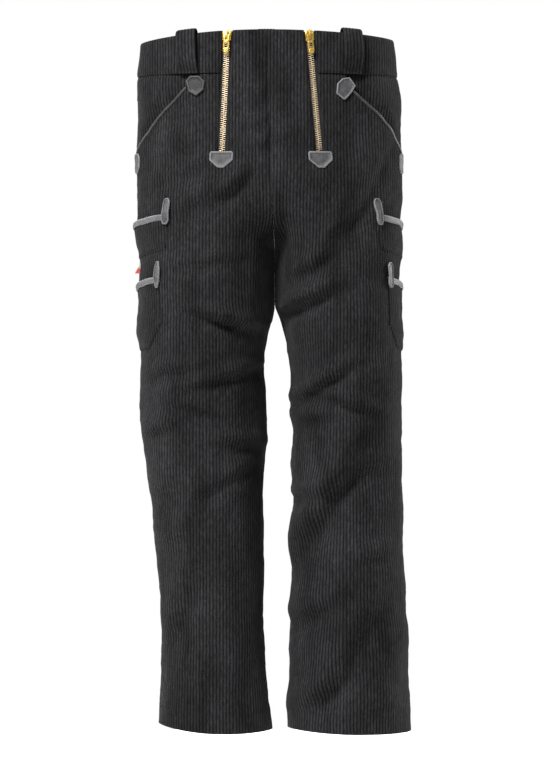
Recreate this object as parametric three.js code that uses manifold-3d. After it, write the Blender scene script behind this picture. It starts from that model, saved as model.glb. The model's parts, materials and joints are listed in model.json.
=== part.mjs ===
// Heavy corduroy work trousers with a double-zip front fall, leather-bound pockets and wide belt loops.
// Millimetres, +Z up, the front faces -Y. The origin is the middle of the waist opening, level with the
// front waist edge, so the legs hang towards -Z. "left" is the wearer's left, which is +X.
import * as THREE from "three";
import { mergeVertices } from "three/addons/utils/BufferGeometryUtils.js";
import Module from "manifold-3d";

const wasm = await Module();
wasm.setup();

// ---------------------------------------------------------------- driving dimensions
const CLOTH = 2.5; // corduroy
const LINING = 1.2; // pocketing and facing cotton
const LEATHER = 1.4;
const GAP = 0.3; // between pieces that lie on each other or meet at a seam
const LENGTH = 1045; // waist edge to hem at the front
const WAISTBAND = 64; // height of the waistband
const PARTING = -200; // where the front starts to sink between the thighs
const CROTCH = -322;
const LEG_SHAPED = -425; // below this the cross-section is fully a leg's

// ---------------------------------------------------------------- the cloth surface
// A smooth value down the garment through a few [z, value] stations, without overshoot.
function profile(stations) {
  const z = stations.map((p) => p[0]);
  const v = stations.map((p) => p[1]);
  const step = z.slice(1).map((b, i) => (v[i + 1] - v[i]) / (b - z[i]));
  const slope = v.map((_, i) => {
    if (i === 0 || i === v.length - 1) return step[Math.min(i, step.length - 1)];
    const [a, b] = [step[i - 1], step[i]];
    return a * b <= 0 ? 0 : (2 * a * b) / (a + b);
  });
  return (at) => {
    if (at >= z[0]) return v[0];
    if (at <= z[z.length - 1]) return v[v.length - 1];
    const i = z.findIndex((_, k) => z[k + 1] <= at);
    const h = z[i + 1] - z[i];
    const t = (at - z[i]) / h;
    return (
      v[i] * (2 * t ** 3 - 3 * t ** 2 + 1) +
      slope[i] * h * (t ** 3 - 2 * t ** 2 + t) +
      v[i + 1] * (3 * t ** 2 - 2 * t ** 3) +
      slope[i + 1] * h * (t ** 3 - t ** 2)
    );
  };
}

const centreX = profile([[0, -6], [-200, 2], [-322, 7]]);
const OUTER = {
  left: profile([[0, 187], [-60, 192], [-110, 196], [-210, 195], [-320, 187], [-560, 189], [-790, 191], [-900, 198], [-1045, 204]]),
  right: profile([[0, 182], [-60, 189], [-110, 193], [-220, 197], [-430, 197], [-560, 199], [-650, 188], [-720, 178], [-900, 166], [-1045, 171]]),
};
const INNER = {
  left: profile([[-322, 0.8], [-430, 9], [-500, 24], [-700, 27], [-1045, 20]]),
  right: profile([[-322, 0.8], [-430, 4], [-490, 15], [-600, 12], [-690, 18], [-920, 15], [-1045, 3]]),
};
const torsoFront = profile([[0, 90], [-100, 98], [-200, 108], [-322, 117]]);
const torsoBack = profile([[0, 97], [-64, 104], [-130, 124], [-210, 142], [-322, 141]]);
const legMiddle = profile([[-200, 10], [-430, 6], [-600, 4], [-800, 12], [-1045, 10]]);
const legDepth = profile([[-200, 122], [-322, 120], [-430, 108], [-600, 82], [-800, 80], [-1045, 81]]);
const SIDE_DIP = 15; // the waist edge is this much lower at the hips than at the front
const BACK_RISE = 12; // and this much higher at the middle of the back

const sideName = (side) => (side > 0 ? "left" : "right");
const clamp01 = (t) => Math.min(1, Math.max(0, t));
const smooth = (t) => clamp01(t) ** 2 * (3 - 2 * clamp01(t));

// The centre seam runs round under the crotch as a quarter ellipse; the thighs part more gently.
function legShare(u, z) {
  const t = clamp01((PARTING - z) / (PARTING - CROTCH));
  const atSeam = 1 - Math.sqrt(1 - t * t);
  const onThigh = smooth((PARTING - z) / (PARTING - LEG_SHAPED));
  return atSeam + (onThigh - atSeam) * smooth(Math.min(u, 1 - u) / 0.1);
}

// A point of the outer cloth surface. u runs round one half of the garment: 0 at the centre front or
// inseam, 0.5 at the side seam, 1 at the centre back or inseam. z is the height before the waist edge's dip.
function cloth(side, u, z) {
  const outer = OUTER[sideName(side)](z);
  const inner = INNER[sideName(side)](z);
  const share = legShare(u, z);
  const torsoX = outer * Math.sin(Math.PI * u);
  const torsoY = -(u < 0.5 ? torsoFront(z) : torsoBack(z)) * Math.cos(Math.PI * u);
  const legX = (outer + inner) / 2 - ((outer - inner) / 2) * Math.cos(2 * Math.PI * u);
  const legY = legMiddle(z) - legDepth(z) * Math.sin(2 * Math.PI * u);
  const edge = u < 0.5 ? -SIDE_DIP * Math.sin(Math.PI * u) ** 2
    : BACK_RISE - (BACK_RISE + SIDE_DIP) * Math.sin(Math.PI * u) ** 2;
  return new THREE.Vector3(
    centreX(z) + side * (torsoX + (legX - torsoX) * share),
    torsoY + (legY - torsoY) * share,
    z + edge * smooth((z + WAISTBAND) / WAISTBAND),
  );
}

function outward(side, u, z) {
  const [du, dz] = [0.002, 0.5];
  const along = cloth(side, Math.min(1, u + du), z).sub(cloth(side, Math.max(0, u - du), z));
  const up = cloth(side, u, Math.min(0, z + dz)).sub(cloth(side, u, Math.min(0, z + dz) - 2 * dz));
  return along.cross(up).normalize().multiplyScalar(side);
}

// The cloth point moved out by d, or in if d is negative. Heights above the waist edge carry straight on up.
function at(side, u, z, d = 0) {
  const zOn = Math.min(z, 0);
  const point = cloth(side, u, zOn).addScaledVector(outward(side, u, zOn), d);
  point.z += z - zOn;
  if (z <= -LENGTH) point.z = -LENGTH; // the hem's lower edge is level
  return point;
}

// u where the front or back surface is x away from the centre line, and where it is an arc length s from
// the side seam, forwards if s is positive.
function uAtX(side, x, z, back = false) {
  let [low, high] = back ? [1, 0.5] : [0, 0.5];
  for (let i = 0; i < 30; i++) {
    const mid = (low + high) / 2;
    if (Math.abs(cloth(side, mid, Math.min(z, 0)).x - centreX(z)) < x) low = mid;
    else high = mid;
  }
  return low;
}
function uAtArc(side, s, z) {
  const du = s > 0 ? -0.002 : 0.002;
  let [u, gone, last] = [0.5, 0, cloth(side, 0.5, z)];
  while (gone < Math.abs(s)) {
    const next = cloth(side, u + du, z);
    gone += next.distanceTo(last);
    [u, last] = [u + du, next];
  }
  return u;
}
const byX = (x, z) => ({ x, z });
const byBackX = (x, z) => ({ x, z, back: true });
const byArc = (s, z) => ({ s, z });
function uOf(side, p) {
  if (p.u !== undefined) return p.u;
  return p.s !== undefined ? uAtArc(side, p.s, p.z) : uAtX(side, p.x, p.z, p.back);
}

// ---------------------------------------------------------------- solids
// A closed slab of quads. point(i, j, outer) gives its grid points, for i from 0 to nt and j from 0 to nr.
function slab(nt, nr, point) {
  const positions = [];
  const index = [];
  const id = (i, j, outer) => (outer ? 0 : (nt + 1) * (nr + 1)) + i * (nr + 1) + j;
  for (const outer of [true, false])
    for (let i = 0; i <= nt; i++)
      for (let j = 0; j <= nr; j++) positions.push(...point(i, j, outer).toArray());
  const quad = (a, b, c, d) => index.push(a, b, c, a, c, d);
  for (let i = 0; i < nt; i++)
    for (let j = 0; j < nr; j++) {
      quad(id(i, j, true), id(i, j + 1, true), id(i + 1, j + 1, true), id(i + 1, j, true));
      quad(id(i, j, false), id(i + 1, j, false), id(i + 1, j + 1, false), id(i, j + 1, false));
    }
  for (let i = 0; i < nt; i++) {
    quad(id(i, 0, false), id(i, 0, true), id(i + 1, 0, true), id(i + 1, 0, false));
    quad(id(i, nr, true), id(i, nr, false), id(i + 1, nr, false), id(i + 1, nr, true));
  }
  for (let j = 0; j < nr; j++) {
    quad(id(0, j, true), id(0, j, false), id(0, j + 1, false), id(0, j + 1, true));
    quad(id(nt, j, false), id(nt, j, true), id(nt, j + 1, true), id(nt, j + 1, false));
  }
  const geometry = new THREE.BufferGeometry();
  geometry.setAttribute("position", new THREE.Float32BufferAttribute(positions, 3));
  geometry.setIndex(index);
  return geometry;
}

// Turns a geometry into a manifold-3d solid, the right way out.
function solid(geometry) {
  const bare = geometry.index ? geometry.toNonIndexed() : geometry.clone();
  for (const name of Object.keys(bare.attributes)) if (name !== "position") bare.deleteAttribute(name);
  const merged = mergeVertices(bare, 1e-4);
  const vertProperties = merged.attributes.position.array;
  const build = (triVerts) => new wasm.Manifold(new wasm.Mesh({ numProp: 3, vertProperties, triVerts }));
  const made = build(new Uint32Array(merged.index.array));
  return made.volume() > 0 ? made : build(new Uint32Array(merged.index.array).reverse());
}
function geometryOf(manifold) {
  const mesh = manifold.getMesh();
  const geometry = new THREE.BufferGeometry();
  geometry.setAttribute("position", new THREE.BufferAttribute(new Float32Array(mesh.vertProperties), 3));
  geometry.setIndex(new THREE.BufferAttribute(new Uint32Array(mesh.triVerts), 1));
  return geometry;
}

// A solid of cloth between two edges, each a list of pattern points in the same order; d is [inner, outer].
function ribbon(side, edgeA, edgeB, columns, d, depth = () => 0) {
  const ends = edgeA.map((p, i) => [
    { u: uOf(side, p), z: p.z },
    { u: uOf(side, edgeB[i]), z: edgeB[i].z },
  ]);
  return solid(slab(ends.length - 1, columns, (i, j, outer) => {
    const [a, b] = ends[i];
    const r = j / columns;
    const [u, z] = [a.u + (b.u - a.u) * r, a.z + (b.z - a.z) * r];
    return at(side, u, z, (outer ? d[1] : d[0]) + depth(u, z, r, i / (ends.length - 1), outer));
  }));
}
const line = (make, a, b, steps) =>
  Array.from({ length: steps + 1 }, (_, i) => make(a[0] + ((b[0] - a[0]) * i) / steps, a[1] + ((b[1] - a[1]) * i) / steps));

// ---------------------------------------------------------------- materials
const finish = (color, roughness, metalness = 0) => new THREE.MeshStandardMaterial({ color, roughness, metalness });
const corduroy = finish(0x232323, 0.95);
const cotton = finish(0x1b1b1c, 0.9);
const leather = finish(0x4b4b4c, 0.55);
const brass = finish(0xc9a24e, 0.3, 1);
const tape = finish(0x141414, 0.9);
const tagCloth = finish(0xb23a2e, 0.8);

const trousers = new THREE.Group();
function add(name, shape, material, parent = trousers) {
  const mesh = new THREE.Mesh(shape.isBufferGeometry ? shape : geometryOf(shape), material);
  mesh.name = name;
  parent.add(mesh);
  return mesh;
}

// ---------------------------------------------------------------- pattern lines
const legRows = [-1045, -980, -910, -840, -770, -700, -640, -580, -520, -470, -430, -395, -365, -342, -328];
const CROTCH_STEPS = 7; // rows bunch towards the crotch, as the quarter ellipse needs
const partingRows = Array.from({ length: CROTCH_STEPS + 1 }, (_, i) =>
  PARTING + (CROTCH - PARTING) * Math.sin((Math.PI / 2) * (1 - i / CROTCH_STEPS)));
const hipRows = [-178, -155, -130, -108, -87];
const seamRows = [...legRows, ...partingRows, ...hipRows, -WAISTBAND];

const ZIP = {
  left: { top: 64, bottom: 73 }, // distance from the centre seam at the waist edge and at the lower end
  right: { top: 57, bottom: 73 },
};
const ZIP_LENGTH = 188;
const SLIT = 10; // half the width that is left open for the zip
const zipX = (side, z) => {
  const zip = ZIP[sideName(side)];
  return zip.top + ((zip.bottom - zip.top) * -z) / ZIP_LENGTH;
};

// The front pocket's mouth, from the corner under the waistband down to the side seam.
const MOUTH = [[118, -80], [137, -100], [155, -117], [170, -132], [182, -150], [188, -166]];
const MOUTH_END = -186;
const mouthCurve = new THREE.SplineCurve(MOUTH.map(([x, z]) => new THREE.Vector2(x, z)));
const mouthX = (z) => {
  if (z > MOUTH[0][1]) return MOUTH[0][0];
  let [low, high] = [0, 1];
  for (let i = 0; i < 25; i++) {
    const mid = (low + high) / 2;
    if (mouthCurve.getPoint(mid).y > z) low = mid;
    else high = mid;
  }
  return mouthCurve.getPoint(low).x;
};
// u along the mouth: by distance from the centre seam where the front faces forwards, then easing to the side seam.
const mouthU = (side, z) => {
  const last = MOUTH[MOUTH.length - 1];
  if (z >= last[1]) return uAtX(side, mouthX(z), z);
  const uLast = uAtX(side, last[0], last[1]);
  return uLast + (0.5 - uLast) * clamp01((last[1] - z) / (last[1] - MOUTH_END));
};

for (const side of [1, -1]) {
  const name = sideName(side);
  const seam = (u, z) => ({ u, z });
  const tiny = GAP / 2 / 600; // half a seam's gap, as a share of the leg's girth

  // -------------------------------------------------------------- leg panels
  const frontRows = [...seamRows, -40, -20, 0];
  const frontOuter = frontRows.map((z) => seam((z > MOUTH_END ? mouthU(side, z) : 0.5) - tiny, z));
  const slitHalf = (z, sign, extra = 0) => byX(zipX(side, z) + sign * (SLIT + extra), z);
  const slitLevels = [-ZIP_LENGTH, -150, -110, -70, -35, 0, 12];
  const slit = ribbon(side, slitLevels.map((z) => slitHalf(z, -1)), slitLevels.map((z) => slitHalf(z, 1)), 2, [-9, 6]);
  const corner = ribbon(
    side,
    line(byX, [zipX(side, 0), -WAISTBAND], [185, -WAISTBAND], 6),
    line(byX, [zipX(side, 0), 14], [185, 14], 6),
    3, [-9, 6],
  );
  const frontLeg = ribbon(side, frontRows.map((z) => seam(tiny, z)), frontOuter, 11, [-CLOTH, 0]);
  add(`front_leg_${name}`, frontLeg.subtract(slit).subtract(corner), corduroy);

  const YOKE_SIDE = -100;
  const YOKE_BACK = -128;
  const yokeZ = (u) => YOKE_SIDE + (YOKE_BACK - YOKE_SIDE) * ((u - 0.5) / 0.5);
  const round = (z, shift) => Array.from({ length: 9 }, (_, i) => {
    const u = 0.5 + tiny + (0.5 - 2 * tiny) * (i / 8);
    return seam(u, (z === null ? yokeZ(u) : z) + shift);
  });
  const backRows = seamRows.filter((z) => z < -140);
  const backLow = ribbon(side, backRows.map((z) => seam(0.5 + tiny, z)), backRows.map((z) => seam(1 - tiny, z)), 8, [-CLOTH, 0]);
  const backTop = ribbon(side, round(backRows[backRows.length - 1], 0), round(null, -GAP), 2, [-CLOTH, 0]);
  add(`back_leg_${name}`, backLow.add(backTop), corduroy);
  add(`back_yoke_${name}`, ribbon(side, round(null, 0), round(-WAISTBAND - GAP, 0), 3, [-CLOTH, 0]), corduroy);

  // -------------------------------------------------------------- turned-up hems, inside
  const HEM = 32;
  const hemDepth = [-2 * CLOTH - 3 * GAP, -CLOTH - 3 * GAP];
  const hemColumns = [
    ...Array.from({ length: 12 }, (_, i) => Math.max(0.002, (0.5 * i) / 11)),
    ...Array.from({ length: 8 }, (_, i) => 0.5 + Math.min(0.498, (0.5 * (i + 1)) / 8)),
  ];
  const ring = (z) => hemColumns.map((u) => seam(u, z));
  add(`hem_turnup_${name}`, ribbon(side, ring(-LENGTH), ring(-LENGTH + HEM), 1, hemDepth), corduroy);

  // -------------------------------------------------------------- front pocket: facing and bag
  const POCKET_ROOM = 7; // how far the mouth stands open
  const FACING_UNDER = 14; // how far the facing reaches behind the front panel
  const roomAt = (z) => CLOTH + 1 + POCKET_ROOM * smooth((-WAISTBAND + 2 - z) / 24) * smooth((z - MOUTH_END + 14) / 30);
  const facingRows = [MOUTH_END + 2, -174, -160, -145, -128, -112, -97, -84, -73, -WAISTBAND];
  const facingX = (z) => Math.min(mouthX(Math.max(z, MOUTH[MOUTH.length - 1][1])), 182) - FACING_UNDER;
  const facingDepth = (u, z) => {
    const atMouth = mouthU(side, z);
    const rise = smooth((u - atMouth - 0.004) / Math.max(0.03, 0.49 - atMouth)) * smooth((z - MOUTH_END) / 26);
    return -roomAt(z) * (1 - rise);
  };
  add(`pocket_facing_${name}`, ribbon(side,
    facingRows.map((z) => byX(facingX(z), z)), facingRows.map((z) => seam(0.5 - tiny, z)), 9, [-CLOTH, 0], facingDepth), corduroy);

  // the bag's back lies behind the facing; its side walls run forwards to the front panel
  const bagRows = [-292, -270, -245, -220, -200, -184, -165, -145, -125, -105, -88, -70];
  const BAG_IN = 98;
  const bagX = (z) => 166 + 6 * smooth((z + 200) / 60);
  const bagEdge = (x, sign) => (inset) => bagRows.map((z, i) =>
    byX((typeof x === "number" ? x : x(z)) + sign * (inset + (i === 0 ? 14 : 0)), z + (i === 0 ? inset : 0)));
  const bagDepth = (u, z, r, t, outer) => (outer ? 0 : -CLOTH - POCKET_ROOM * smooth((-WAISTBAND + 2 - z) / 24));
  const bagInner = bagEdge(BAG_IN, 1);
  const bagOuter = bagEdge(bagX, -1);
  const BAG_BACK = -CLOTH - 3.2;
  const bagBlank = ribbon(side, bagInner(0), bagOuter(0), 5, [BAG_BACK - LINING, -CLOTH - 1.6], bagDepth);
  const bagRoom = ribbon(side,
    [...bagInner(LINING), byX(BAG_IN + LINING, -60)], [...bagOuter(LINING), byX(bagX(0) - LINING, -60)], 5, [BAG_BACK, 3], bagDepth);
  const facingSpace = ribbon(side,
    facingRows.map((z) => byX(facingX(z) - 5, z - 4)), facingRows.map((z) => seam(0.49, z - 4)), 9, [-CLOTH - 1.2, 8],
    (u, z, r, t, outer) => (outer ? 0 : 0.4 - roomAt(z + 4)));
  add(`pocket_bag_${name}`, bagBlank.subtract(bagRoom).subtract(facingSpace), cotton);

  // -------------------------------------------------------------- leather binding and corner patches of the mouth
  const BINDING = 6;
  const bindingLevels = [-172, -164, -155, -146, -136, -126, -116, -106, -98];
  const edgeU = (z) => ({ u: mouthU(side, z) - tiny, z });
  const bindInner = bindingLevels.map((z) => {
    const p = edgeU(z);
    const girth = cloth(side, p.u, z).distanceTo(cloth(side, p.u - 0.01, z));
    return { u: p.u - (BINDING / girth) * 0.01 * 1.25, z };
  });
  add(`pocket_binding_${name}`, ribbon(side, bindInner, bindingLevels.map(edgeU), 2, [GAP, GAP + LEATHER]), leather);

  const cornerPatch = (cx, cz, turn, size) => {
    // half-widths of a shield from its flat top to its point, turned about its middle
    const rows = [[15, 13], [9, 15.5], [0, 15.5], [-8, 11], [-17, 1.5]];
    const place = (x, z) => {
      const [c, s] = [Math.cos(turn) * size, Math.sin(turn) * size];
      return byX(cx + x * c - z * s, cz + x * s + z * c);
    };
    return [rows.map(([z, w]) => place(-w, z)), rows.map(([z, w]) => place(w, z))];
  };
  const [patchA, patchB] = cornerPatch(114, -84, 0.75, 0.95);
  add(`pocket_patch_upper_${name}`, ribbon(side, patchA, patchB, 3, [GAP, GAP + LEATHER]), leather);
  const lowPatch = [[-176, 8], [-184, 12], [-196, 12], [-206, 7]];
  add(`pocket_patch_lower_${name}`, ribbon(side,
    lowPatch.map(([z, w]) => byArc(-w, z)), lowPatch.map(([z, w]) => byArc(w, z)), 3, [GAP, GAP + LEATHER]), leather);

  // -------------------------------------------------------------- belt loops
  const LOOP_WIDTH = 27;
  const LOOP_ROOM = 9.2; // between loop and waistband
  const LOOP_TOP = 5; // stands above the waist edge
  const loop = (make, x) => {
    const band = (half, z0, z1, d, shift = 0) => {
      const levels = [z0, z0 / 2 + z1 / 2, z1];
      return ribbon(side, levels.map((z) => make(x - half, z)), levels.map((z) => make(x + half, z)), 3, d, () => shift);
    };
    const whole = band(LOOP_WIDTH / 2, -WAISTBAND + 1, LOOP_TOP, [GAP, LOOP_ROOM + 2]);
    return whole.subtract(band(LOOP_WIDTH / 2 + 6, -WAISTBAND + 5, LOOP_TOP - 4, [-2, LOOP_ROOM]));
  };
  add(`belt_loop_front_${name}`, loop(byX, 119), corduroy);
  add(`belt_loop_back_${name}`, loop(byBackX, 112), corduroy);

  // -------------------------------------------------------------- patch pockets: sewn flat at their edges, open at the top
  const POCKET_SWELL = 8.5; // room in the middle of a patch pocket
  const WALL = 2;
  const UNDER = 2.5 * GAP;
  const TRIM_UNDER = UNDER + WALL + 3 * GAP;
  function patchPocket({ make, first, last, bottom, top, chamfer, steps, off = 0 }) {
    // bottom and top are [z at the first edge, z at the last edge]
    const share = (x) => (x - first) / (last - first);
    const bottomZ = (x) => {
      const fromEnd = Math.min(Math.abs(x - first), Math.abs(x - last));
      return bottom[0] + (bottom[1] - bottom[0]) * share(x) + Math.max(0, chamfer - fromEnd) * 0.8;
    };
    const topZ = (x) => top[0] + (top[1] - top[0]) * share(x);
    const swell = (x, z) => POCKET_SWELL
      * smooth((Math.min(Math.abs(x - first), Math.abs(x - last)) - 2) / 24) * smooth((z - bottomZ(x) - 2) / 26);
    const columns = (inset) => {
      const step = Math.sign(last - first) * inset;
      return Array.from({ length: steps + 1 }, (_, i) => first + step + ((last - first - 2 * step) * i) / steps);
    };
    const shape = (inset, lift, d) => {
      const xs = columns(inset);
      return ribbon(side, xs.map((x) => make(x, bottomZ(x) + inset)), xs.map((x) => make(x, topZ(x) + lift)), 5, d,
        (u, z, r, t, outer) => (outer ? swell(xs[Math.round(t * steps)], Math.min(z, topZ(xs[Math.round(t * steps)]))) : 0));
    };
    const body = shape(0, 0, [UNDER + off, UNDER + WALL + off]).subtract(shape(WALL, 15, [-2, UNDER + off]));
    const xs = columns(0);
    const binding = ribbon(side, xs.map((x) => make(x, topZ(x) - 7)), xs.map((x) => make(x, topZ(x))), 1,
      [TRIM_UNDER + off, TRIM_UNDER + LEATHER + off], (u, z, r, t) => swell(xs[Math.round(t * steps)], z));
    return [body, binding];
  }
  const frontArc = side > 0 ? 66 : 79;
  const REAR_ARC = -70;
  const thighPockets = [
    ["upper", { first: frontArc, bottom: [-324, -346], top: [-272, -291], chamfer: 0, steps: 8 }],
    ["lower", { first: frontArc + 1, bottom: [-470, -476], top: [-365, -382], chamfer: 34, steps: 9 }],
  ];
  for (const [which, pattern] of thighPockets) {
    const [body, binding] = patchPocket({ make: byArc, last: REAR_ARC, ...pattern });
    add(`thigh_pocket_${which}_${name}`, body, corduroy);
    add(`thigh_binding_${which}_${name}`, binding, leather);
    // the upright leather bar that holds the front end of the pocket's mouth
    const barZ = pattern.top[0] + 3;
    const rows = [[-19, 4.2], [-14, 6], [0, 5], [14, 6], [19, 4.2]];
    const middle = pattern.first - 4.5;
    const BAR_UNDER = TRIM_UNDER + LEATHER + 1;
    add(`thigh_bar_${which}_${name}`, ribbon(side,
      rows.map(([dz, w]) => byArc(middle + w, barZ + dz)), rows.map(([dz, w]) => byArc(middle - w, barZ + dz)), 2,
      [BAR_UNDER, BAR_UNDER + LEATHER], (u, z, r) => 3 * r), leather);
  }
  const [backBody, backTrim] = patchPocket({
    make: byBackX, first: 146, last: 46, bottom: [-286, -286], top: [-146, -152], chamfer: 22, steps: 7, off: 1,
  });
  add(`back_pocket_${name}`, backBody, corduroy);
  add(`back_binding_${name}`, backTrim, leather);
}

// ---------------------------------------------------------------- waistband, lining and the middle back loop
// These go round the back from one zip to the other: v is 0 and 1 at the zips and 0.5 at the centre back.
function roundTheBack(vFrom, vTo, zLow, zHigh, steps, rows, d, startX) {
  const sideOf = (v) => (v < 0.5 ? -1 : 1);
  const uAt = (v, z) => {
    const side = sideOf(v);
    const from = uAtX(side, startX(side, z), z);
    return from + (1 - from) * (v < 0.5 ? v / 0.5 : (1 - v) / 0.5);
  };
  return solid(slab(steps, rows, (i, j, outer) => {
    const v = vFrom + ((vTo - vFrom) * i) / steps;
    const z = zLow + ((zHigh - zLow) * j) / rows;
    return at(sideOf(v), uAt(v, z), z, outer ? d[1] : d[0]);
  }));
}
const clearOfZip = (extra) => (side, z) => zipX(side, z) + SLIT + extra;
const BAND_STEPS = 40;
add("waistband", roundTheBack(0, 1, -WAISTBAND + GAP, 0, BAND_STEPS, 4, [-CLOTH, 0], clearOfZip(0)), corduroy);
add("waistband_lining", roundTheBack(1 / BAND_STEPS, 1 - 1 / BAND_STEPS, -WAISTBAND + 10, -3, BAND_STEPS - 2, 3,
  [-CLOTH - 3 * GAP - LINING, -CLOTH - 3 * GAP], clearOfZip(0)), cotton);
const backLoopShape = (half, z0, z1, d) => roundTheBack(0.5 - half, 0.5 + half, z0, z1, 4, 2, d, () => 60);
const BACK_LOOP_HALF = 0.0165;
add("belt_loop_centre_back",
  backLoopShape(BACK_LOOP_HALF, -WAISTBAND + 1, 5, [GAP, 10.2])
    .subtract(backLoopShape(BACK_LOOP_HALF * 1.5, -WAISTBAND + 5, 1, [-2, 8.2])), corduroy);

// ---------------------------------------------------------------- zips
// Each zip is straight and lies in its own frame: +Z up along the chain, -Y out of the garment, origin on the
// outer cloth surface at the waist edge.
const CHAIN_Y = 4; // the chain's middle lies this far under the outer cloth surface
const TOOTH_PITCH = 9;
const CHAIN_LENGTH = 180;
const block = (x0, x1, y0, y1, z0, z1) =>
  solid(new THREE.BoxGeometry(x1 - x0, y1 - y0, z1 - z0).translate((x0 + x1) / 2, (y0 + y1) / 2, (z0 + z1) / 2));

// A flat piece: a shape drawn in x and z, from y0 to y1.
function plate(points, y0, y1, holes = []) {
  const shape = new THREE.Shape(points.map(([x, z]) => new THREE.Vector2(x, z)));
  for (const hole of holes) shape.holes.push(new THREE.Path(hole.map(([x, z]) => new THREE.Vector2(x, z))));
  const geometry = new THREE.ExtrudeGeometry(shape, { depth: y1 - y0, bevelEnabled: false });
  return geometry.rotateX(Math.PI / 2).translate(0, y1, 0);
}

function teeth(sign) {
  const points = [[4.2, 0], [4.2, -CHAIN_LENGTH]];
  const edge = [];
  for (let z = -CHAIN_LENGTH; z < 0; z += TOOTH_PITCH)
    edge.push([0.6, z], [0.6, z + TOOTH_PITCH * 0.6], [1.8, z + TOOTH_PITCH * 0.6], [1.8, z + TOOTH_PITCH]);
  return plate([...points, ...edge].map(([x, z]) => [sign * x, z]), CHAIN_Y - 1.4, CHAIN_Y + 1.4);
}

const SLIDER_Z = -7; // the closed slider's middle
const PIN_Y = -2.9; // the pull's cross bar
function slider() {
  const hex = [[-3.4, 8], [3.4, 8], [6.5, 4], [6.2, -8], [-6.2, -8], [-6.5, 4]];
  let body = solid(plate(hex, -1, 2.2)).add(solid(plate(hex, 5.8, 7.4)));
  body = body.add(block(-0.35, 0.35, 2.1, 5.9, -8, 8)); // the wedge between the two chains
  for (const s of [-1, 1]) {
    body = body.add(block(s * 5.5 - 0.9, s * 5.5 + 0.9, 2.1, 3.2, -8, 3.5));
    body = body.add(block(s * 5.5 - 0.9, s * 5.5 + 0.9, 4.8, 5.9, -8, 3.5));
  }
  const bail = block(-1.4, 1.4, -5.4, -0.9, -6, 6).subtract(block(-2, 2, -4.2, -1, -4.6, 4.6));
  return geometryOf(body.add(bail).translate([0, 0, SLIDER_Z]));
}
function pull() {
  const outline = [[-3.9, 0.8], [3.9, 0.8], [3.9, -8], [4.6, -11], [4.6, -24], [2.6, -28], [-2.6, -28], [-4.6, -24], [-4.6, -11], [-3.9, -8]];
  const window = [[-1.9, -0.8], [-1.9, -7.2], [1.9, -7.2], [1.9, -0.8]];
  const slot = [[-2.4, -12], [-2.4, -19], [2.4, -19], [2.4, -12]];
  return plate(outline, PIN_Y - 0.8, PIN_Y + 0.8, [window, slot]).translate(0, 0, SLIDER_Z);
}

for (const side of [1, -1]) {
  const name = sideName(side);
  const zip = ZIP[name];
  const top = at(side, uAtX(side, zip.top, 0), 0);
  const end = at(side, uAtX(side, zip.bottom, -ZIP_LENGTH), -ZIP_LENGTH);
  const up = top.clone().sub(end).normalize();
  const inward = outward(side, uAtX(side, zipX(side, -90), -90), -90).negate();
  inward.addScaledVector(up, -inward.dot(up)).normalize();
  const frame = new THREE.Group();
  frame.name = `zip_frame_${name}`;
  frame.setRotationFromMatrix(new THREE.Matrix4().makeBasis(inward.clone().cross(up), inward, up));
  frame.position.copy(top);
  trousers.add(frame);

  for (const [sign, which] of [[1, side > 0 ? "outer" : "inner"], [-1, side > 0 ? "inner" : "outer"]]) {
    const strip = new THREE.BoxGeometry(10, 0.8, CHAIN_LENGTH + 4)
      .translate(sign * 9.5, CHAIN_Y, -CHAIN_LENGTH / 2 - 2.5);
    add(`zip_tape_${which}_${name}`, strip, tape, frame);
    add(`zip_teeth_${which}_${name}`, teeth(sign), brass, frame);
  }
  add(`zip_stop_${name}`, geometryOf(block(-4, 4, 2.4, 5.6, -CHAIN_LENGTH - 4.5, -CHAIN_LENGTH - 0.4)), brass, frame);
  add(`zip_slider_${name}`, slider(), brass, frame);
  add(`zip_pull_${name}`, pull(), brass, frame);
  // the underlap that covers the gap behind the zip
  const shield = [[-20, -2], [-20, -196], [18, -196], [20, -2]].map(([x, z]) => [side * x, z]);
  add(`fly_shield_${name}`, plate(shield, 9, 11), corduroy, frame);

  // five-sided leather patch over the zip's lower end
  const PATCH_TOP = -181;
  const rows = [[0, 16], [-3, 17.5], [-13, 17.5], [-19, 10], [-25, 2]];
  add(`zip_patch_${name}`, ribbon(side,
    rows.map(([dz, w]) => byX(zipX(side, PATCH_TOP + dz) - w, PATCH_TOP + dz)),
    rows.map(([dz, w]) => byX(zipX(side, PATCH_TOP + dz) + w, PATCH_TOP + dz)), 4, [GAP, GAP + LEATHER]), leather);
}

// ---------------------------------------------------------------- woven tab in the thigh pocket's seam, right side
const TAB_Z = -350;
const tabAt = at(-1, 0.5, TAB_Z, 9.2);
add("side_tab", new THREE.BoxGeometry(10, 1, 15).translate(tabAt.x - 4.8, tabAt.y, TAB_Z - 6), tagCloth);

export default trousers;
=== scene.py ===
import json
import math

import bpy
import numpy as np
from mathutils import Matrix, Vector


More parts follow.
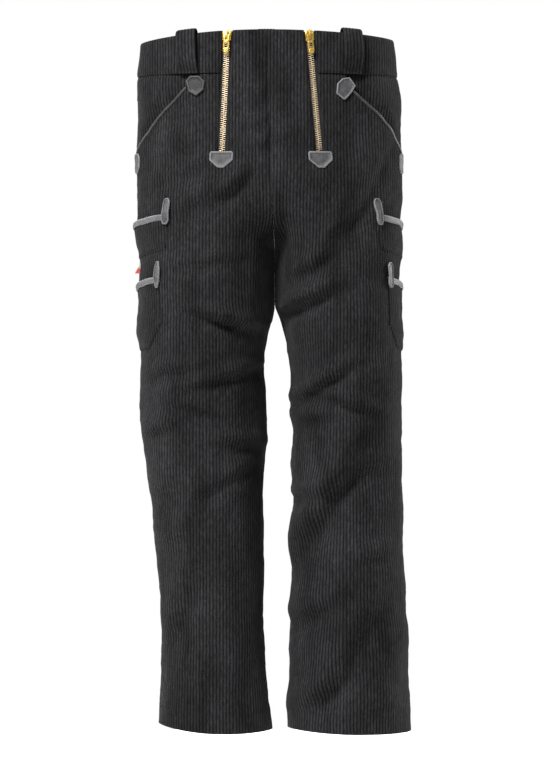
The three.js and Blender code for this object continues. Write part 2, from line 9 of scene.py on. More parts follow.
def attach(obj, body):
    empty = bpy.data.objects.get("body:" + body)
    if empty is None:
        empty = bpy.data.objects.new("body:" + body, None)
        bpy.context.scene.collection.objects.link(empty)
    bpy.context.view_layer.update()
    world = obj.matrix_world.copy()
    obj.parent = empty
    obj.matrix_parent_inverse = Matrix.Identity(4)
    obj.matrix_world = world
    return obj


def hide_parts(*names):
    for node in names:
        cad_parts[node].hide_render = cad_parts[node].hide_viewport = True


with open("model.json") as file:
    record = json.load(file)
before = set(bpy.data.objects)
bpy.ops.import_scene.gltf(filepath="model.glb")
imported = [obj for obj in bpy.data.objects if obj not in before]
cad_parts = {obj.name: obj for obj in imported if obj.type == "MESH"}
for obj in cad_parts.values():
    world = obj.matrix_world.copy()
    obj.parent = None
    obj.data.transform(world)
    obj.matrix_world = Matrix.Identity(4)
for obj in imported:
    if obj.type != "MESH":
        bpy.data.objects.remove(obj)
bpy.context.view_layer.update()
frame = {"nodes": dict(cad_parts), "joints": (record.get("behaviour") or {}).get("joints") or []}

MM = 0.001

# ---------------------------------------------------------------------------------------------
# How the trousers hang. The cloth follows the wearer's shape: an oval at the waist and hips that
# sinks between the thighs and parts into two legs. Lengths here are millimetres; left is the
# wearer's left, +X. u goes round one half from the centre front (0) by the side seam (0.5) to the
# centre back (1), and z is the height below the front waist edge.
LENGTH = 1045
WAISTBAND = 64
PARTING, CROTCH, LEG_SHAPED = -200, -322, -425
SIDE_DIP, BACK_RISE = {1: 9, -1: 14}, 12
HEM_LIFT = {1: (1, 7), -1: (13, 4)}
SIDES = {"left": 1, "right": -1}


def profile(*stations):
    """A smooth value down the garment through a few (z, value) stations, without overshoot."""
    z, v = np.array(stations, float).T
    step = np.diff(v) / np.diff(z)
    a, b = step[:-1], step[1:]
    inner = np.where(a * b <= 0, 0, 2 * a * b / np.where(a + b == 0, 1, a + b))
    slope = np.concatenate([step[:1], inner, step[-1:]])

    def value(at):
        at = np.clip(at, z[-1], z[0])
        i = np.clip(np.searchsorted(-z, -at, side="right") - 1, 0, len(z) - 2)
        h = z[i + 1] - z[i]
        t = (at - z[i]) / h
        return (v[i] * (2 * t**3 - 3 * t**2 + 1) + slope[i] * h * (t**3 - 2 * t**2 + t)
                + v[i + 1] * (3 * t**2 - 2 * t**3) + slope[i + 1] * h * (t**3 - t**2))

    return value


def smooth(t):
    t = np.clip(t, 0, 1)
    return t * t * (3 - 2 * t)


centre_x = profile((0, -6), (-200, 2), (-322, 7))
outer_x = {
    1: profile((0, 190), (-60, 195), (-110, 198), (-210, 196), (-320, 188), (-560, 191), (-790, 194),
               (-900, 200), (-1045, 205)),
    -1: profile((0, 187), (-60, 193), (-110, 197), (-220, 202), (-330, 203), (-430, 201), (-560, 202),
                (-650, 192), (-720, 183), (-900, 170), (-1045, 174)),
}
inner_x = {
    1: profile((-322, -1.6), (-396, -1.2), (-430, 9), (-500, 24), (-700, 27), (-1045, 20)),
    -1: profile((-322, -1.6), (-396, -1.2), (-430, 4), (-490, 15), (-600, 12), (-690, 18), (-920, 15),
                (-1045, 3)),
}
torso_front = profile((0, 90), (-100, 98), (-200, 108), (-322, 117))
torso_back = profile((0, 97), (-64, 104), (-130, 124), (-210, 142), (-322, 141))
leg_middle = profile((-200, 10), (-430, 6), (-600, 4), (-800, 12), (-1045, 10))
leg_depth = profile((-200, 122), (-322, 120), (-430, 108), (-600, 82), (-800, 80), (-1045, 81))


def hung(side, u, z):
    """The plain shape of the outer cloth, before any folds."""
    u, z = np.broadcast_arrays(np.asarray(u, float), np.asarray(z, float))
    outer, inner = outer_x[side](z), inner_x[side](z)
    t = np.clip((PARTING - z) / (PARTING - CROTCH), 0, 1)
    at_seam = 1 - np.sqrt(1 - t * t)
    on_thigh = smooth((PARTING - z) / (PARTING - LEG_SHAPED))
    share = at_seam + (on_thigh - at_seam) * smooth(np.minimum(u, 1 - u) / 0.1)
    round_x, round_y = np.sin(np.pi * u), np.cos(np.pi * u)
    torso = outer * round_x, -np.where(u < 0.5, torso_front(z), torso_back(z)) * round_y
    leg = ((outer + inner) / 2 - (outer - inner) / 2 * np.cos(2 * np.pi * u),
           leg_middle(z) - leg_depth(z) * np.sin(2 * np.pi * u))
    rise = np.where(u < 0.5, 0, BACK_RISE)
    edge = (rise - (rise + SIDE_DIP[side]) * round_x**2) * smooth((z + WAISTBAND) / WAISTBAND)
    at_side, at_inside = HEM_LIFT[side]
    edge = edge + (at_side * round_x**6 + at_inside * (1 - round_x**2) ** 3) * smooth((-z - 950) / 95)
    return np.stack([centre_x(z) + side * (torso[0] + (leg[0] - torso[0]) * share),
                     torso[1] + (leg[1] - torso[1]) * share, z + edge], axis=-1)


def outward(shape, side, u, z):
    """The unit normal of a surface function at u and z."""
    low, high = np.clip(u - 0.0015, 0, 1), np.clip(u + 0.0015, 0, 1)
    along = shape(side, high, z) - shape(side, low, z)
    up = shape(side, u, np.minimum(z + 1, 0)) - shape(side, u, np.minimum(z + 1, 0) - 2)
    normal = side * np.cross(along, up)
    return normal / np.maximum(np.linalg.norm(normal, axis=-1, keepdims=True), 1e-9)


# Soft folds, each (x, z, degrees from level, half-length, half-width, height). A drape bulges above
# its line and sinks below it; a swell is a plain low ridge, or a hollow if its height is negative.
DRAPES = {
    -1: [(-64, -430, -14, 34, 8, 7.5), (-90, -250, 25, 40, 12, 2.6), (-150, -505, 8, 36, 9, 3.0),
         (-62, -512, 16, 46, 8, 4.4), (-40, -612, -8, 26, 9, 3.6), (-120, -560, -14, 46, 10, 3.0),
         (-165, -592, 20, 22, 8, 3.2), (-100, -690, 60, 46, 13, 2.6), (-55, -660, 30, 34, 9, 3.0),
         (-140, -880, 70, 70, 13, 3.0), (-95, -345, 8, 40, 9, 2.8), (-44, -222, 48, 34, 9, 3.8),
         (-120, -210, 20, 34, 10, 2.0)],
    1: [(54, -400, 24, 34, 10, 7.0), (78, -522, 32, 38, 8, 4.8), (112, -552, -18, 30, 8, 4.8),
        (60, -575, 10, 30, 9, 3.0), (80, -708, 63, 64, 15, 8.0), (120, -660, 24, 34, 12, 4.6),
        (52, -690, 6, 26, 9, 3.4), (107, -937, 59, 80, 17, 7.0), (66, -860, 30, 40, 14, 4.6),
        (75, -985, 35, 40, 12, 3.6), (100, -305, 52, 50, 11, 3.6), (120, -250, 60, 60, 10, 3.4),
        (150, -230, 66, 60, 9, 3.0), (70, -345, 30, 34, 9, 3.2), (150, -780, 20, 30, 10, 2.6)],
}
SWELLS = {
    -1: [(-17, -92, 4, 15, 7, 3.4), (-19, -131, 8, 17, 7, 3.8), (-19, -167, 10, 17, 7, 3.8),
         (-22, -206, 34, 22, 8, 3.8), (-84, -150, 84, 60, 20, -2.0), (-150, -330, 80, 60, 18, 1.8),
         (-112, -800, 88, 150, 22, -2.2), (-26, -370, 84, 60, 10, 2.4), (-150, -575, 80, 40, 22, 2.6)],
    1: [(16, -112, 0, 16, 9, 1.4), (18, -152, 0, 16, 9, 1.6), (16, -290, 86, 70, 12, -3.0),
        (112, -800, 30, 34, 16, 4.2), (150, -960, 70, 70, 16, 2.4), (128, -190, 66, 60, 8, 2.2),
        (76, -665, 10, 26, 14, 3.0)],
}
BACK_DRAPES = {
    side: [(side * 60, -330, side * -28, 60, 10, 3.2), (side * 74, -372, side * -22, 56, 10, 2.8),
           (side * 96, -566, side * 10, 60, 9, 3.4), (side * 104, -600, side * -6, 56, 9, 3.6),
           (side * 92, -640, side * 14, 50, 10, 2.6), (side * 130, -470, side * 50, 50, 12, 2.2),
           (side * 70, -240, side * 30, 50, 14, 1.8), (side * 120, -900, side * 66, 70, 14, 2.2)]
    for side in (1, -1)
}
CREASE_X = {1: 109, -1: -104}
crease_height = profile((-560, 0), (-760, 2.4), (-1045, 4.2))
ZIP_TOP = {1: 64, -1: 57}
ZIP_FOOT = 73
ZIP_LENGTH = 188


def zip_x(side, z):
    """How far from the centre line the zip lies at a height."""
    return ZIP_TOP[side] + (ZIP_FOOT - ZIP_TOP[side]) * -z / ZIP_LENGTH


rng = np.random.default_rng(17)


def ripple_set(shortest, longest, count):
    """Waves of random direction and length, the same each run."""
    wave = rng.normal(size=(count, 3))
    wave /= np.linalg.norm(wave, axis=1, keepdims=True)
    wave[:, 2] *= 1.5
    wave *= (2 * np.pi / rng.uniform(shortest, longest, count))[:, None]
    return wave, rng.uniform(0, 2 * np.pi, count)


BROAD, FINE = ripple_set(70, 170, 16), ripple_set(18, 46, 26)


def ripple(p, waves):
    wave, phase = waves
    return np.sin(p @ wave.T + phase).sum(axis=-1) / math.sqrt(len(phase))


def fold_height(side, u, z, p):
    """How far the folds lift the cloth off its plain shape."""
    high = 1.3 * ripple(p, BROAD) + 0.42 * ripple(p, FINE) * smooth((-60 - z) / 60)
    front = smooth((0.5 - u) / 0.06) * smooth(u / 0.012)
    back = smooth((u - 0.5) / 0.06) * smooth((1 - u) / 0.012)
    for drapes, half, list_of in ((True, front, DRAPES[side]), (False, front, SWELLS[side]),
                                  (True, back, BACK_DRAPES[side])):
        for x0, z0, degrees, length, width, height in list_of:
            c, s = math.cos(math.radians(degrees)), math.sin(math.radians(degrees))
            dx, dz = p[..., 0] - x0, p[..., 2] - z0
            along, across = dx * c + dz * s, dz * c - dx * s
            fall = np.exp(-0.5 * (along / length) ** 2 - 0.5 * (across / width) ** 2)
            high = high + half * height * fall * (across / width * 2.1 if drapes else 1.3)
    off = np.abs(p[..., 0] - CREASE_X[side])
    high = high + crease_height(z) * np.exp(-off / 7) * np.where(np.abs(u - 0.5) > 0.12, 1, 0)
    # the centre seam draws in, and beside the zips the cloth lies flat
    seam = np.abs(p[..., 0] - centre_x(z))
    drawn_in = (2.6 + 0.8 * smooth((-z - 150) / 80)) * smooth((-z - 20) / 60)
    high = high - drawn_in * np.exp(-((seam / 9.5) ** 2))
    beside_zip = np.exp(-(((seam - zip_x(side, z)) / 20) ** 2)) * (u < 0.5)
    high = high * (1 - 0.85 * beside_zip * smooth((z + 235) / 30))
    # the folds die away at the waist, at the hems and where the thighs lie against each other
    calm = smooth((-z + 8) / 60) * (0.25 + 0.75 * smooth((z + LENGTH) / 50))
    meeting = smooth((seam - 2) / 16)
    return high * calm * np.where((z < -230) & (z > -430), meeting, 1)


def surface(side, u, z):
    """The outer cloth with its folds."""
    p = hung(side, u, z)
    lift = fold_height(side, np.asarray(u, float), np.asarray(z, float), p)
    return p + outward(hung, side, u, z) * lift[..., None]


def spot(side, u, z, off):
    """A point off the cloth, for heights above the waist edge as well."""
    u, z, off = np.broadcast_arrays(np.asarray(u, float), np.asarray(z, float), np.asarray(off, float))
    low = np.minimum(z, 0)
    p = surface(side, u, low) + outward(surface, side, u, low) * off[..., None]
    p[..., 2] += z - low
    return p


def u_at_x(side, x, z, back=False):
    """u where the front or the back of the cloth is x away from the centre line."""
    x, z = np.broadcast_arrays(np.asarray(x, float), np.asarray(z, float))
    low, high = np.full(x.shape, 1.0 if back else 0.0), np.full(x.shape, 0.5)
    for _ in range(26):
        mid = (low + high) / 2
        short = np.abs(hung(side, mid, np.minimum(z, 0))[..., 0] - centre_x(np.minimum(z, 0))) < x
        low, high = np.where(short, mid, low), np.where(short, high, mid)
    return low


def u_at_arc(side, s, z):
    """u at an arc length s from the side seam, forwards if s is positive."""
    s, z = np.broadcast_arrays(np.asarray(s, float), np.asarray(z, float))
    steps = np.linspace(0, 0.45, 120)
    u = 0.5 - np.sign(s)[..., None] * steps
    p = hung(side, u, z[..., None])
    gone = np.cumsum(np.linalg.norm(np.diff(p, axis=-2), axis=-1), axis=-1)
    gone = np.concatenate([np.zeros(gone.shape[:-1] + (1,)), gone], axis=-1)
    flat_gone, flat_s = gone.reshape(-1, gone.shape[-1]), np.abs(s).reshape(-1)
    found = np.array([np.interp(a, g, steps) for a, g in zip(flat_s, flat_gone)]).reshape(s.shape)
    return 0.5 - np.sign(s) * found


# ---------------------------------------------------------------------------------------------
# The corduroy: heavy black cotton with ribs five millimetres apart that run down the garment. Each
# rib is a raised round of cut pile, with painted light in its colour: a painted highlight, lighter and
# greyer on its crown where the nap catches the light, and painted shade, darker between the ribs. The
# pile lies unevenly in soft patches.
RIB = 5.0
RIB_HEIGHT = 0.62
RIB_STEPS = 4
CLOTH = 2.2


def new_material(name, roughness, specular=0.3, sheen=None, metallic=0.0):
    m = bpy.data.materials.new(name)
    m.use_nodes = True
    b = m.node_tree.nodes["Principled BSDF"]
    b.inputs["Roughness"].default_value = roughness
    b.inputs["Specular IOR Level"].default_value = specular
    b.inputs["Metallic"].default_value = metallic
    if sheen:
        b.inputs["Sheen Weight"].default_value, b.inputs["Sheen Roughness"].default_value = sheen[:2]
        b.inputs["Sheen Tint"].default_value = (*sheen[2], 1)
    return m, m.node_tree, b


def node(tree, kind, **values):
    n = tree.nodes.new(kind)
    for key, value in values.items():
        if key in n.inputs:
            n.inputs[key].default_value = value
        else:
            setattr(n, key, value)
    return n


def on_piece(tree, kind, **values):
    """A texture that stays with the piece."""
    texture = node(tree, kind, **values)
    tree.links.new(node(tree, "ShaderNodeTexCoord").outputs["Object"], texture.inputs["Vector"])
    return texture


def noise(tree, scale, stretch=(1, 1, 1), detail=3, rough=0.6):
    """Noise on the piece's own place, stretched along an axis."""
    place = node(tree, "ShaderNodeTexCoord")
    mapping = node(tree, "ShaderNodeMapping")
    mapping.inputs["Scale"].default_value = stretch
    n = node(tree, "ShaderNodeTexNoise", Scale=scale, Detail=detail, Roughness=rough)
    tree.links.new(place.outputs["Object"], mapping.inputs["Vector"])
    tree.links.new(mapping.outputs["Vector"], n.inputs["Vector"])
    return n.outputs["Fac"]


def math_node(tree, what, a, b=None, clamp=False):
    n = node(tree, "ShaderNodeMath", operation=what, use_clamp=clamp)
    for k, value in enumerate((a, b)):
        if value is None:
            continue
        if isinstance(value, (int, float)):
            n.inputs[k].default_value = value
        else:
            tree.links.new(value, n.inputs[k])
    return n.outputs[0]


def mixed(tree, a, share_a, b, share_b, clamp=False):
    """Two values added up in given shares."""
    parts = [math_node(tree, "MULTIPLY", value, share) for value, share in ((a, share_a), (b, share_b))]
    return math_node(tree, "ADD", *parts, clamp=clamp)


def ramp(tree, factor, *stops):
    n = node(tree, "ShaderNodeValToRGB")
    while len(n.color_ramp.elements) < len(stops):
        n.color_ramp.elements.new(0.5)
    for e, (place, colour) in zip(n.color_ramp.elements, stops):
        e.position, e.color = place, (*colour, 1) if len(colour) == 3 else colour
    tree.links.new(factor, n.inputs["Fac"])
    return n.outputs["Color"]


def blend(tree, kind, factor, a, b):
    n = node(tree, "ShaderNodeMix", data_type="RGBA", blend_type=kind)
    for socket, value in ((n.inputs["Factor"], factor), (n.inputs[6], a), (n.inputs[7], b)):
        if isinstance(value, (int, float)):
            socket.default_value = value
        elif isinstance(value, tuple):
            socket.default_value = (*value, 1)
        else:
            tree.links.new(value, socket)
    return n.outputs[2]


def bump(tree, shader, height, strength, distance):
    n = node(tree, "ShaderNodeBump", Strength=strength, Distance=distance)
    tree.links.new(height, n.inputs["Height"])
    tree.links.new(n.outputs["Normal"], shader.inputs["Normal"])


def grey(v):
    return v, v, v * 1.02


def corduroy_finish(name, dark, light):
    m, tree, shader = new_material(name, 0.92, 0.03, sheen=(0.035, 0.4, (0.8, 0.8, 0.82)))
    uv = node(tree, "ShaderNodeUVMap", uv_map="cloth")
    split = node(tree, "ShaderNodeSeparateXYZ")
    tree.links.new(uv.outputs["UV"], split.inputs["Vector"])
    turn = math_node(tree, "MULTIPLY", split.outputs["X"], math.pi / (RIB * MM))
    crown = math_node(tree, "POWER", math_node(tree, "ABSOLUTE", math_node(tree, "SINE", turn)), 0.8)
    patches = noise(tree, 24, (1, 1, 0.3), 3, 0.55)
    flecks = noise(tree, 420, (1, 1, 0.25), 2, 0.7)
    nap = ramp(tree, patches, (0.3, grey(dark)), (0.5, grey((dark + light) / 2)), (0.7, grey(light)))
    fleck = ramp(tree, flecks, (0.28, grey(0.55)), (0.5, grey(0.95)), (0.74, grey(1.6)))
    # painted highlight on each rib's crown and painted shade between the ribs, on top of the real ribs
    painted_rib_shading = ramp(tree, crown, (0.0, grey(0.12)), (0.45, grey(0.6)), (1.0, grey(1.25)))
    colour = blend(tree, "MULTIPLY", 1.0, blend(tree, "MULTIPLY", 1.0, nap, fleck), painted_rib_shading)
    tree.links.new(colour, shader.inputs["Base Color"])
    pile = noise(tree, 1500, (1, 1, 0.5), 2, 0.7)
    bump(tree, shader, mixed(tree, flecks, 0.7, pile, 0.3), 0.55, 0.0006)
    return m


corduroy = corduroy_finish("corduroy", 0.0050, 0.0118)

# the wrong side of the cloth, a plain dark twill
wrong_side, tree, shader = new_material("corduroy_wrong_side", 0.9, 0.05, sheen=(0.02, 0.5, (0.5, 0.5, 0.5)))
twill = on_piece(tree, "ShaderNodeTexWave", Scale=520, Distortion=0.6, bands_direction="DIAGONAL")
tone = ramp(tree, twill.outputs["Fac"], (0.2, grey(0.003)), (0.8, grey(0.008)))
tree.links.new(tone, shader.inputs["Base Color"])
bump(tree, shader, twill.outputs["Fac"], 0.3, 0.0003)


def closed_shell(name, outer, inner, faces, materials, uv=None):
    """A mesh object of an outer and an inner skin with the same faces, joined round every open edge."""
    outer, inner = np.asarray(outer).reshape(-1, 3), np.asarray(inner).reshape(-1, 3)
    n = len(outer)
    a, b, c = (outer[[f[k] for f in faces]] for k in range(3))
    if (np.cross(b - a, c - a) * (a - inner[[f[0] for f in faces]])).sum() < 0:
        faces = [f[::-1] for f in faces]
    edges = {}
    for f in faces:
        for a, b in zip(f, f[1:] + f[:1]):
            if (b, a) in edges:
                del edges[b, a]
            else:
                edges[a, b] = True
    all_faces = faces + [[v + n for v in reversed(f)] for f in faces]
    skin = [0] * len(faces) + [1] * len(faces) + [0] * len(edges)
    all_faces += [[b, a, a + n, b + n] for a, b in edges]
    mesh = bpy.data.meshes.new(name)
    mesh.from_pydata((np.concatenate([outer, inner]) * MM).tolist(), [], all_faces)
    for material in materials:
        mesh.materials.append(material)
    if len(materials) > 1:
        mesh.polygons.foreach_set("material_index", skin)
    if uv is not None:
        layer = mesh.uv_layers.new(name="cloth")
        loop_vertex = np.zeros(len(mesh.loops), np.int32)
        mesh.loops.foreach_get("vertex_index", loop_vertex)
        both = np.concatenate([uv, uv]) * MM
        layer.data.foreach_set("uv", both[loop_vertex].reshape(-1))
    mesh.validate()
    mesh.update()
    o = bpy.data.objects.new(name, mesh)
    bpy.context.collection.objects.link(o)
    finish_edges(o, 55)
    return o


def pick(*objects):
    """Selects only these, the first active."""
    bpy.ops.object.select_all(action="DESELECT")
    for o in objects:
        o.select_set(True)
    bpy.context.view_layer.objects.active = objects[0]


def finish_edges(o, degrees):
    """Smooth shading that keeps edges sharper than the angle."""
    pick(o)
    bpy.ops.object.shade_smooth_by_angle(angle=math.radians(degrees))
    o.select_set(False)


U = np.linspace(0, 1, 1201)


def from_crease(side, z, back):
    """Arc length round the cloth at a height, counted from the front or back crease line."""
    p = hung(side, U, z)
    s = np.concatenate([[0], np.cumsum(np.linalg.norm(np.diff(p, axis=0), axis=1))])
    half = U >= 0.5 if back else U <= 0.5
    x = side * (p[half, 0] - CREASE_X[side])
    order = np.argsort(x)
    return s - np.interp(np.interp(0, x[order], U[half][order]), U, s)


def cloth_panel(name, side, zones, back=False, lift=0.0, thick=CLOTH, warp=None, ribs=1.0, roll=(1, 1),
                free=(), depth=None, materials=None):
    """A panel of corduroy cut from zones of (heights, first u, last u, which sides meet the next zone).

    Each u is a number or a function of the height. Ribs run down the panel at an even pitch and end at
    its edges. roll gives how far its two sides sink at their seams, free names the edges "top" and
    "bottom" that are folded over, and depth(u, z, from first, from last) sinks it further."""
    step = RIB / RIB_STEPS
    keys, quads, info = {}, [], []
    for levels, first, last, *joins in zones:
        rows = []
        for z in levels:
            s = from_crease(side, z, back)
            ends = [np.interp(end(z) if callable(end) else end, U, s) for end in (first, last)]
            if z in (levels[0], levels[-1]):
                ends = [round(e / step) * step if k in joins else e for k, e in zip(("first", "last"), ends)]
            rows.append((z, s, *ends))
        low, high = min(r[2] for r in rows), max(r[3] for r in rows)
        columns = np.arange(math.floor(low / step), math.ceil(high / step) + 1) * step
        ids = np.zeros((len(rows), len(columns)), int)
        for j, (z, s, a, b) in enumerate(rows):
            at = np.clip(columns, a, b)
            u = np.interp(at, s, U)
            for i, value in enumerate(at):
                key = (round(z, 3), round(float(value), 3))
                if key not in keys:
                    keys[key] = len(keys)
                    info.append((u[i], z, value, value - a, b - value))
                ids[j, i] = keys[key]
        corners = ids[:-1, :-1], ids[:-1, 1:], ids[1:, 1:], ids[1:, :-1]
        quads += [q for q in zip(*(c.ravel().tolist() for c in corners)) if q[0] != q[1] or q[2] != q[3]]
    faces = [[v for k, v in enumerate(q) if v != q[k - 1]] for q in quads]
    u, z, s, from_first, from_last = np.array(info).T
    z_low, z_high = z.min(), z.max()
    placed = z if warp is None else warp(u, z)
    sink = roll[0] * np.exp(-(from_first / 2.0) ** 2) + roll[1] * np.exp(-(from_last / 2.0) ** 2)
    near = np.minimum(from_first if roll[0] else 99, from_last if roll[1] else 99)
    if "top" in free:
        sink = sink + 1.0 * np.exp(-((z_high - z) / 1.6) ** 2)
    if "bottom" in free:
        sink = sink + 1.0 * np.exp(-((z - z_low) / 1.6) ** 2)
    crown = np.abs(np.sin(np.pi * s / RIB)) ** 0.8
    relief = RIB_HEIGHT * ribs * crown * (1 - 0.8 * np.exp(-(near / 2.4) ** 2)) - sink
    down = 0 if depth is None else depth(u, z, from_first, from_last)
    p = surface(side, u, np.minimum(placed, 0))
    normal = outward(surface, side, u, np.minimum(placed, 0))
    p[:, 2] += placed - np.minimum(placed, 0)
    outer = p + normal * (lift + relief - down)[:, None]
    inner = p + normal * (lift - thick - 0.35 * sink - down)[:, None]
    parted = (z < -240) & (np.minimum(u, 1 - u) < 0.12)
    for skin, gap in ((outer, 0.04), (inner, 0.8 * thick)):
        clear = side * (skin[:, 0] - centre_x(z))
        skin[:, 0] += np.where(parted & (clear < gap), side * (gap - clear), 0)
        skin[:, 0] -= np.where(~parted & (np.minimum(u, 1 - u) < 1e-6), side * 0.15, 0)
    o = closed_shell(name, outer, inner, faces, materials or [corduroy, wrong_side],
                     uv=np.stack([s, placed], axis=1))
    cut_to(o, np.ptp(s), np.ptp(placed), flat_area(p, faces))
    return o


def flat_area(p, faces):
    """The area of the cloth without its ribs: that of the pattern piece."""
    halves = np.array([half for f in faces for half in (f[:3], [f[0], f[2], f[-1]])])
    a, b, c = p[halves[:, 0]], p[halves[:, 1]], p[halves[:, 2]]
    return np.linalg.norm(np.cross(b - a, c - a), axis=1).sum() / 2


def cut_to(o, width, length, area):
    """Keeps the size that a piece was cut to."""
    o["cut_area"], o["cut_size"] = float(area) * MM * MM, [float(width) * MM, float(length) * MM]


def sewn(o, nodes, body="trousers"):
    """A piece: what it stands for and what it rides on."""
    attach(o, body)
    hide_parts(*nodes)


def heights(low, high, step=6.0, *exact):
    """Even heights from low to high that also hit the exact ones."""
    n = max(1, round((high - low) / step))
    z = set(np.round(np.linspace(low, high, n + 1), 3))
    for e in exact:
        z = {v for v in z if abs(v - e) > step * 0.35} | {e}
    return sorted(z | {low, high})


# ---------------------------------------------------------------------------------------------
# The legs: a front and a back panel each, sewn down the side and the inside leg. The two fronts meet
# in a seam that runs from the waist edge under the crotch, and between the zips they reach the waist
# edge as the fall. Below the knee a pressed crease runs down the middle of each panel.
SLIT = 7.5
MOUTH = [(118, -80), (137, -100), (155, -117), (170, -132), (183, -150)]
MOUTH_END = -186
mouth_x = profile(*((z, x) for x, z in MOUTH))


def past_zip(side, gap):
    """u along a zip, at a gap to the outside of its middle."""
    return lambda z: float(u_at_x(side, zip_x(side, z) + gap, z))


def mouth_u(side, z):
    """u along the pocket's mouth, which eases on to the side seam at its lower end."""
    z = np.asarray(z, float)
    x_last, z_last = MOUTH[-1]
    u_last = u_at_x(side, x_last, z_last)
    on_front = u_at_x(side, mouth_x(np.maximum(z, z_last)), np.maximum(z, z_last))
    on_seam = u_last + (0.5 - u_last) * np.clip((z_last - z) / (z_last - MOUTH_END), 0, 1)
    return np.where(z >= z_last, on_front, on_seam)


YOKE_MIDDLE = -114
yoke_z = lambda u: -100 - 28 * (u - 0.5) / 0.5
hem_rows = [-1045, -1044.3, -1043, -1040.5, -1037]

for word, side in SIDES.items():
    edge = lambda z: float(mouth_u(side, z)) if z > MOUTH_END else 0.5
    zip_in, zip_out = past_zip(side, -SLIT), past_zip(side, SLIT)

    def tucked(u, z, from_first, from_last):
        """The front goes in under the waistband, and the fall's top edge is folded over."""
        under_band = 2.5 * smooth((z + WAISTBAND + 5) / 5) * (hung(side, u, z)[..., 0] * side > ZIP_TOP[side])
        return under_band + np.exp(-((z / 1.7) ** 2))

    front = cloth_panel(f"front_leg_{word}_cloth", side, [
        (hem_rows + heights(-1031, -ZIP_LENGTH, 6.3), 0, edge),
        (heights(-ZIP_LENGTH, -60, 5.5), 0, zip_in, "last"),
        (heights(-ZIP_LENGTH, -60, 5.5, MOUTH_END, -WAISTBAND), zip_out, edge, "first"),
        (heights(-60, -4, 6) + [-2, -0.8, 0], 0, zip_in, "last"),
    ], depth=tucked)
    sewn(front, [f"front_leg_{word}"])
    warp = lambda u, z: z + (yoke_z(u) - YOKE_MIDDLE) * smooth((z + 190) / (YOKE_MIDDLE + 190))
    back = cloth_panel(f"back_leg_{word}_cloth", side, [
        (hem_rows + heights(-1031, YOKE_MIDDLE + 4, 6.4, YOKE_MIDDLE - 1), 0.5, 1),
    ], back=True, warp=warp, depth=lambda u, z, a, b: 2.6 * smooth((z - YOKE_MIDDLE + 1.5) / 4))
    sewn(back, [f"back_leg_{word}"])

    # the back yoke between the waistband and the seat
    below_band = lambda z: np.clip((-WAISTBAND - z) / (-WAISTBAND - YOKE_MIDDLE), 0, 1)
    yoke = cloth_panel(f"back_yoke_{word}_cloth", side, [(heights(YOKE_MIDDLE, -60, 5, -WAISTBAND), 0.5, 1)],
                       back=True, warp=lambda u, z: z + (yoke_z(u) - YOKE_MIDDLE) * below_band(z), lift=0.5,
                       free=("bottom",), depth=lambda u, z, a, b: 3.0 * smooth((z + WAISTBAND + 2) / 4))
    sewn(yoke, [f"back_yoke_{word}"])

    # the hem, turned up inside and stitched
    turn = cloth_panel(f"hem_turnup_{word}_cloth", side, [(heights(-1044, -1013, 8), 0.002, 0.998)],
                       lift=-2.8, thick=1.7, ribs=0.0, roll=(0, 0), materials=[wrong_side, wrong_side])
    sewn(turn, [f"hem_turnup_{word}"])

# ---------------------------------------------------------------------------------------------
# The waistband: a band of the same corduroy round the sides and back, from zip to zip, with the ribs
# upright like the rest. Its top edge is folded, its lower edge covers the tops of the panels, and a
# black cotton band faces it inside. Rows of black thread hold both edges.
threads = {"black": [], "grey": []}


def stitch(kind, points, normals, spacing=3.6, length=2.5, thick=0.34):
    """Lays a row of stitches along a line: short rounded lengths of thread sunk a little in the cloth."""
    points, normals = np.asarray(points, float), np.asarray(normals, float)
    gone = np.concatenate([[0], np.cumsum(np.linalg.norm(np.diff(points, axis=0), axis=1))])
    for at in np.arange(spacing / 2, gone[-1], spacing):
        mid = np.array([np.interp(at, gone, points[:, k]) for k in range(3)])
        nearby = [np.array([np.interp(at + d, gone, points[:, k]) for k in range(3)]) for d in (-1.0, 1.0)]
        along = nearby[1] - nearby[0]
        up = np.array([np.interp(at, gone, normals[:, k]) for k in range(3)])
        threads[kind].append((mid, along / (np.linalg.norm(along) + 1e-9), up, length, thick))


def stitch_on(kind, side, u, z, off, **how):
    """A row of stitches on the cloth along u and z."""
    u, z = np.broadcast_arrays(np.asarray(u, float), np.asarray(z, float))
    stitch(kind, spot(side, u, z, off), outward(surface, side, u, np.minimum(z, 0)), **how)


def joined(name, pieces):
    """One object of several, keeping the cut sizes added up."""
    pick(*pieces)
    area = sum(o["cut_area"] for o in pieces) if "cut_area" in pieces[0] else None
    size = list(pieces[0]["cut_size"]) if area else None
    bpy.ops.object.join()
    whole = bpy.context.view_layer.objects.active
    whole.name = name
    if area:
        whole["cut_area"], whole["cut_size"] = area, [size[0] * len(pieces), size[1]]
    finish_edges(whole, 55)
    return whole


def cotton_finish(name, dark, light, scale=900):
    m, tree, shader = new_material(name, 0.86, 0.06, sheen=(0.02, 0.5, (0.6, 0.6, 0.6)))
    waves = [on_piece(tree, "ShaderNodeTexWave", Scale=scale, Distortion=0.8, bands_direction=direction)
             for direction in ("X", "Z")]
    yarn = math_node(tree, "MAXIMUM", *(wave.outputs["Fac"] for wave in waves))
    soft = noise(tree, 60, (1, 1, 1), 3, 0.6)
    cloudy = mixed(tree, yarn, 0.6, soft, 0.4)
    tree.links.new(ramp(tree, cloudy, (0.25, grey(dark)), (0.8, grey(light))), shader.inputs["Base Color"])
    bump(tree, shader, yarn, 0.4, 0.0003)
    return m


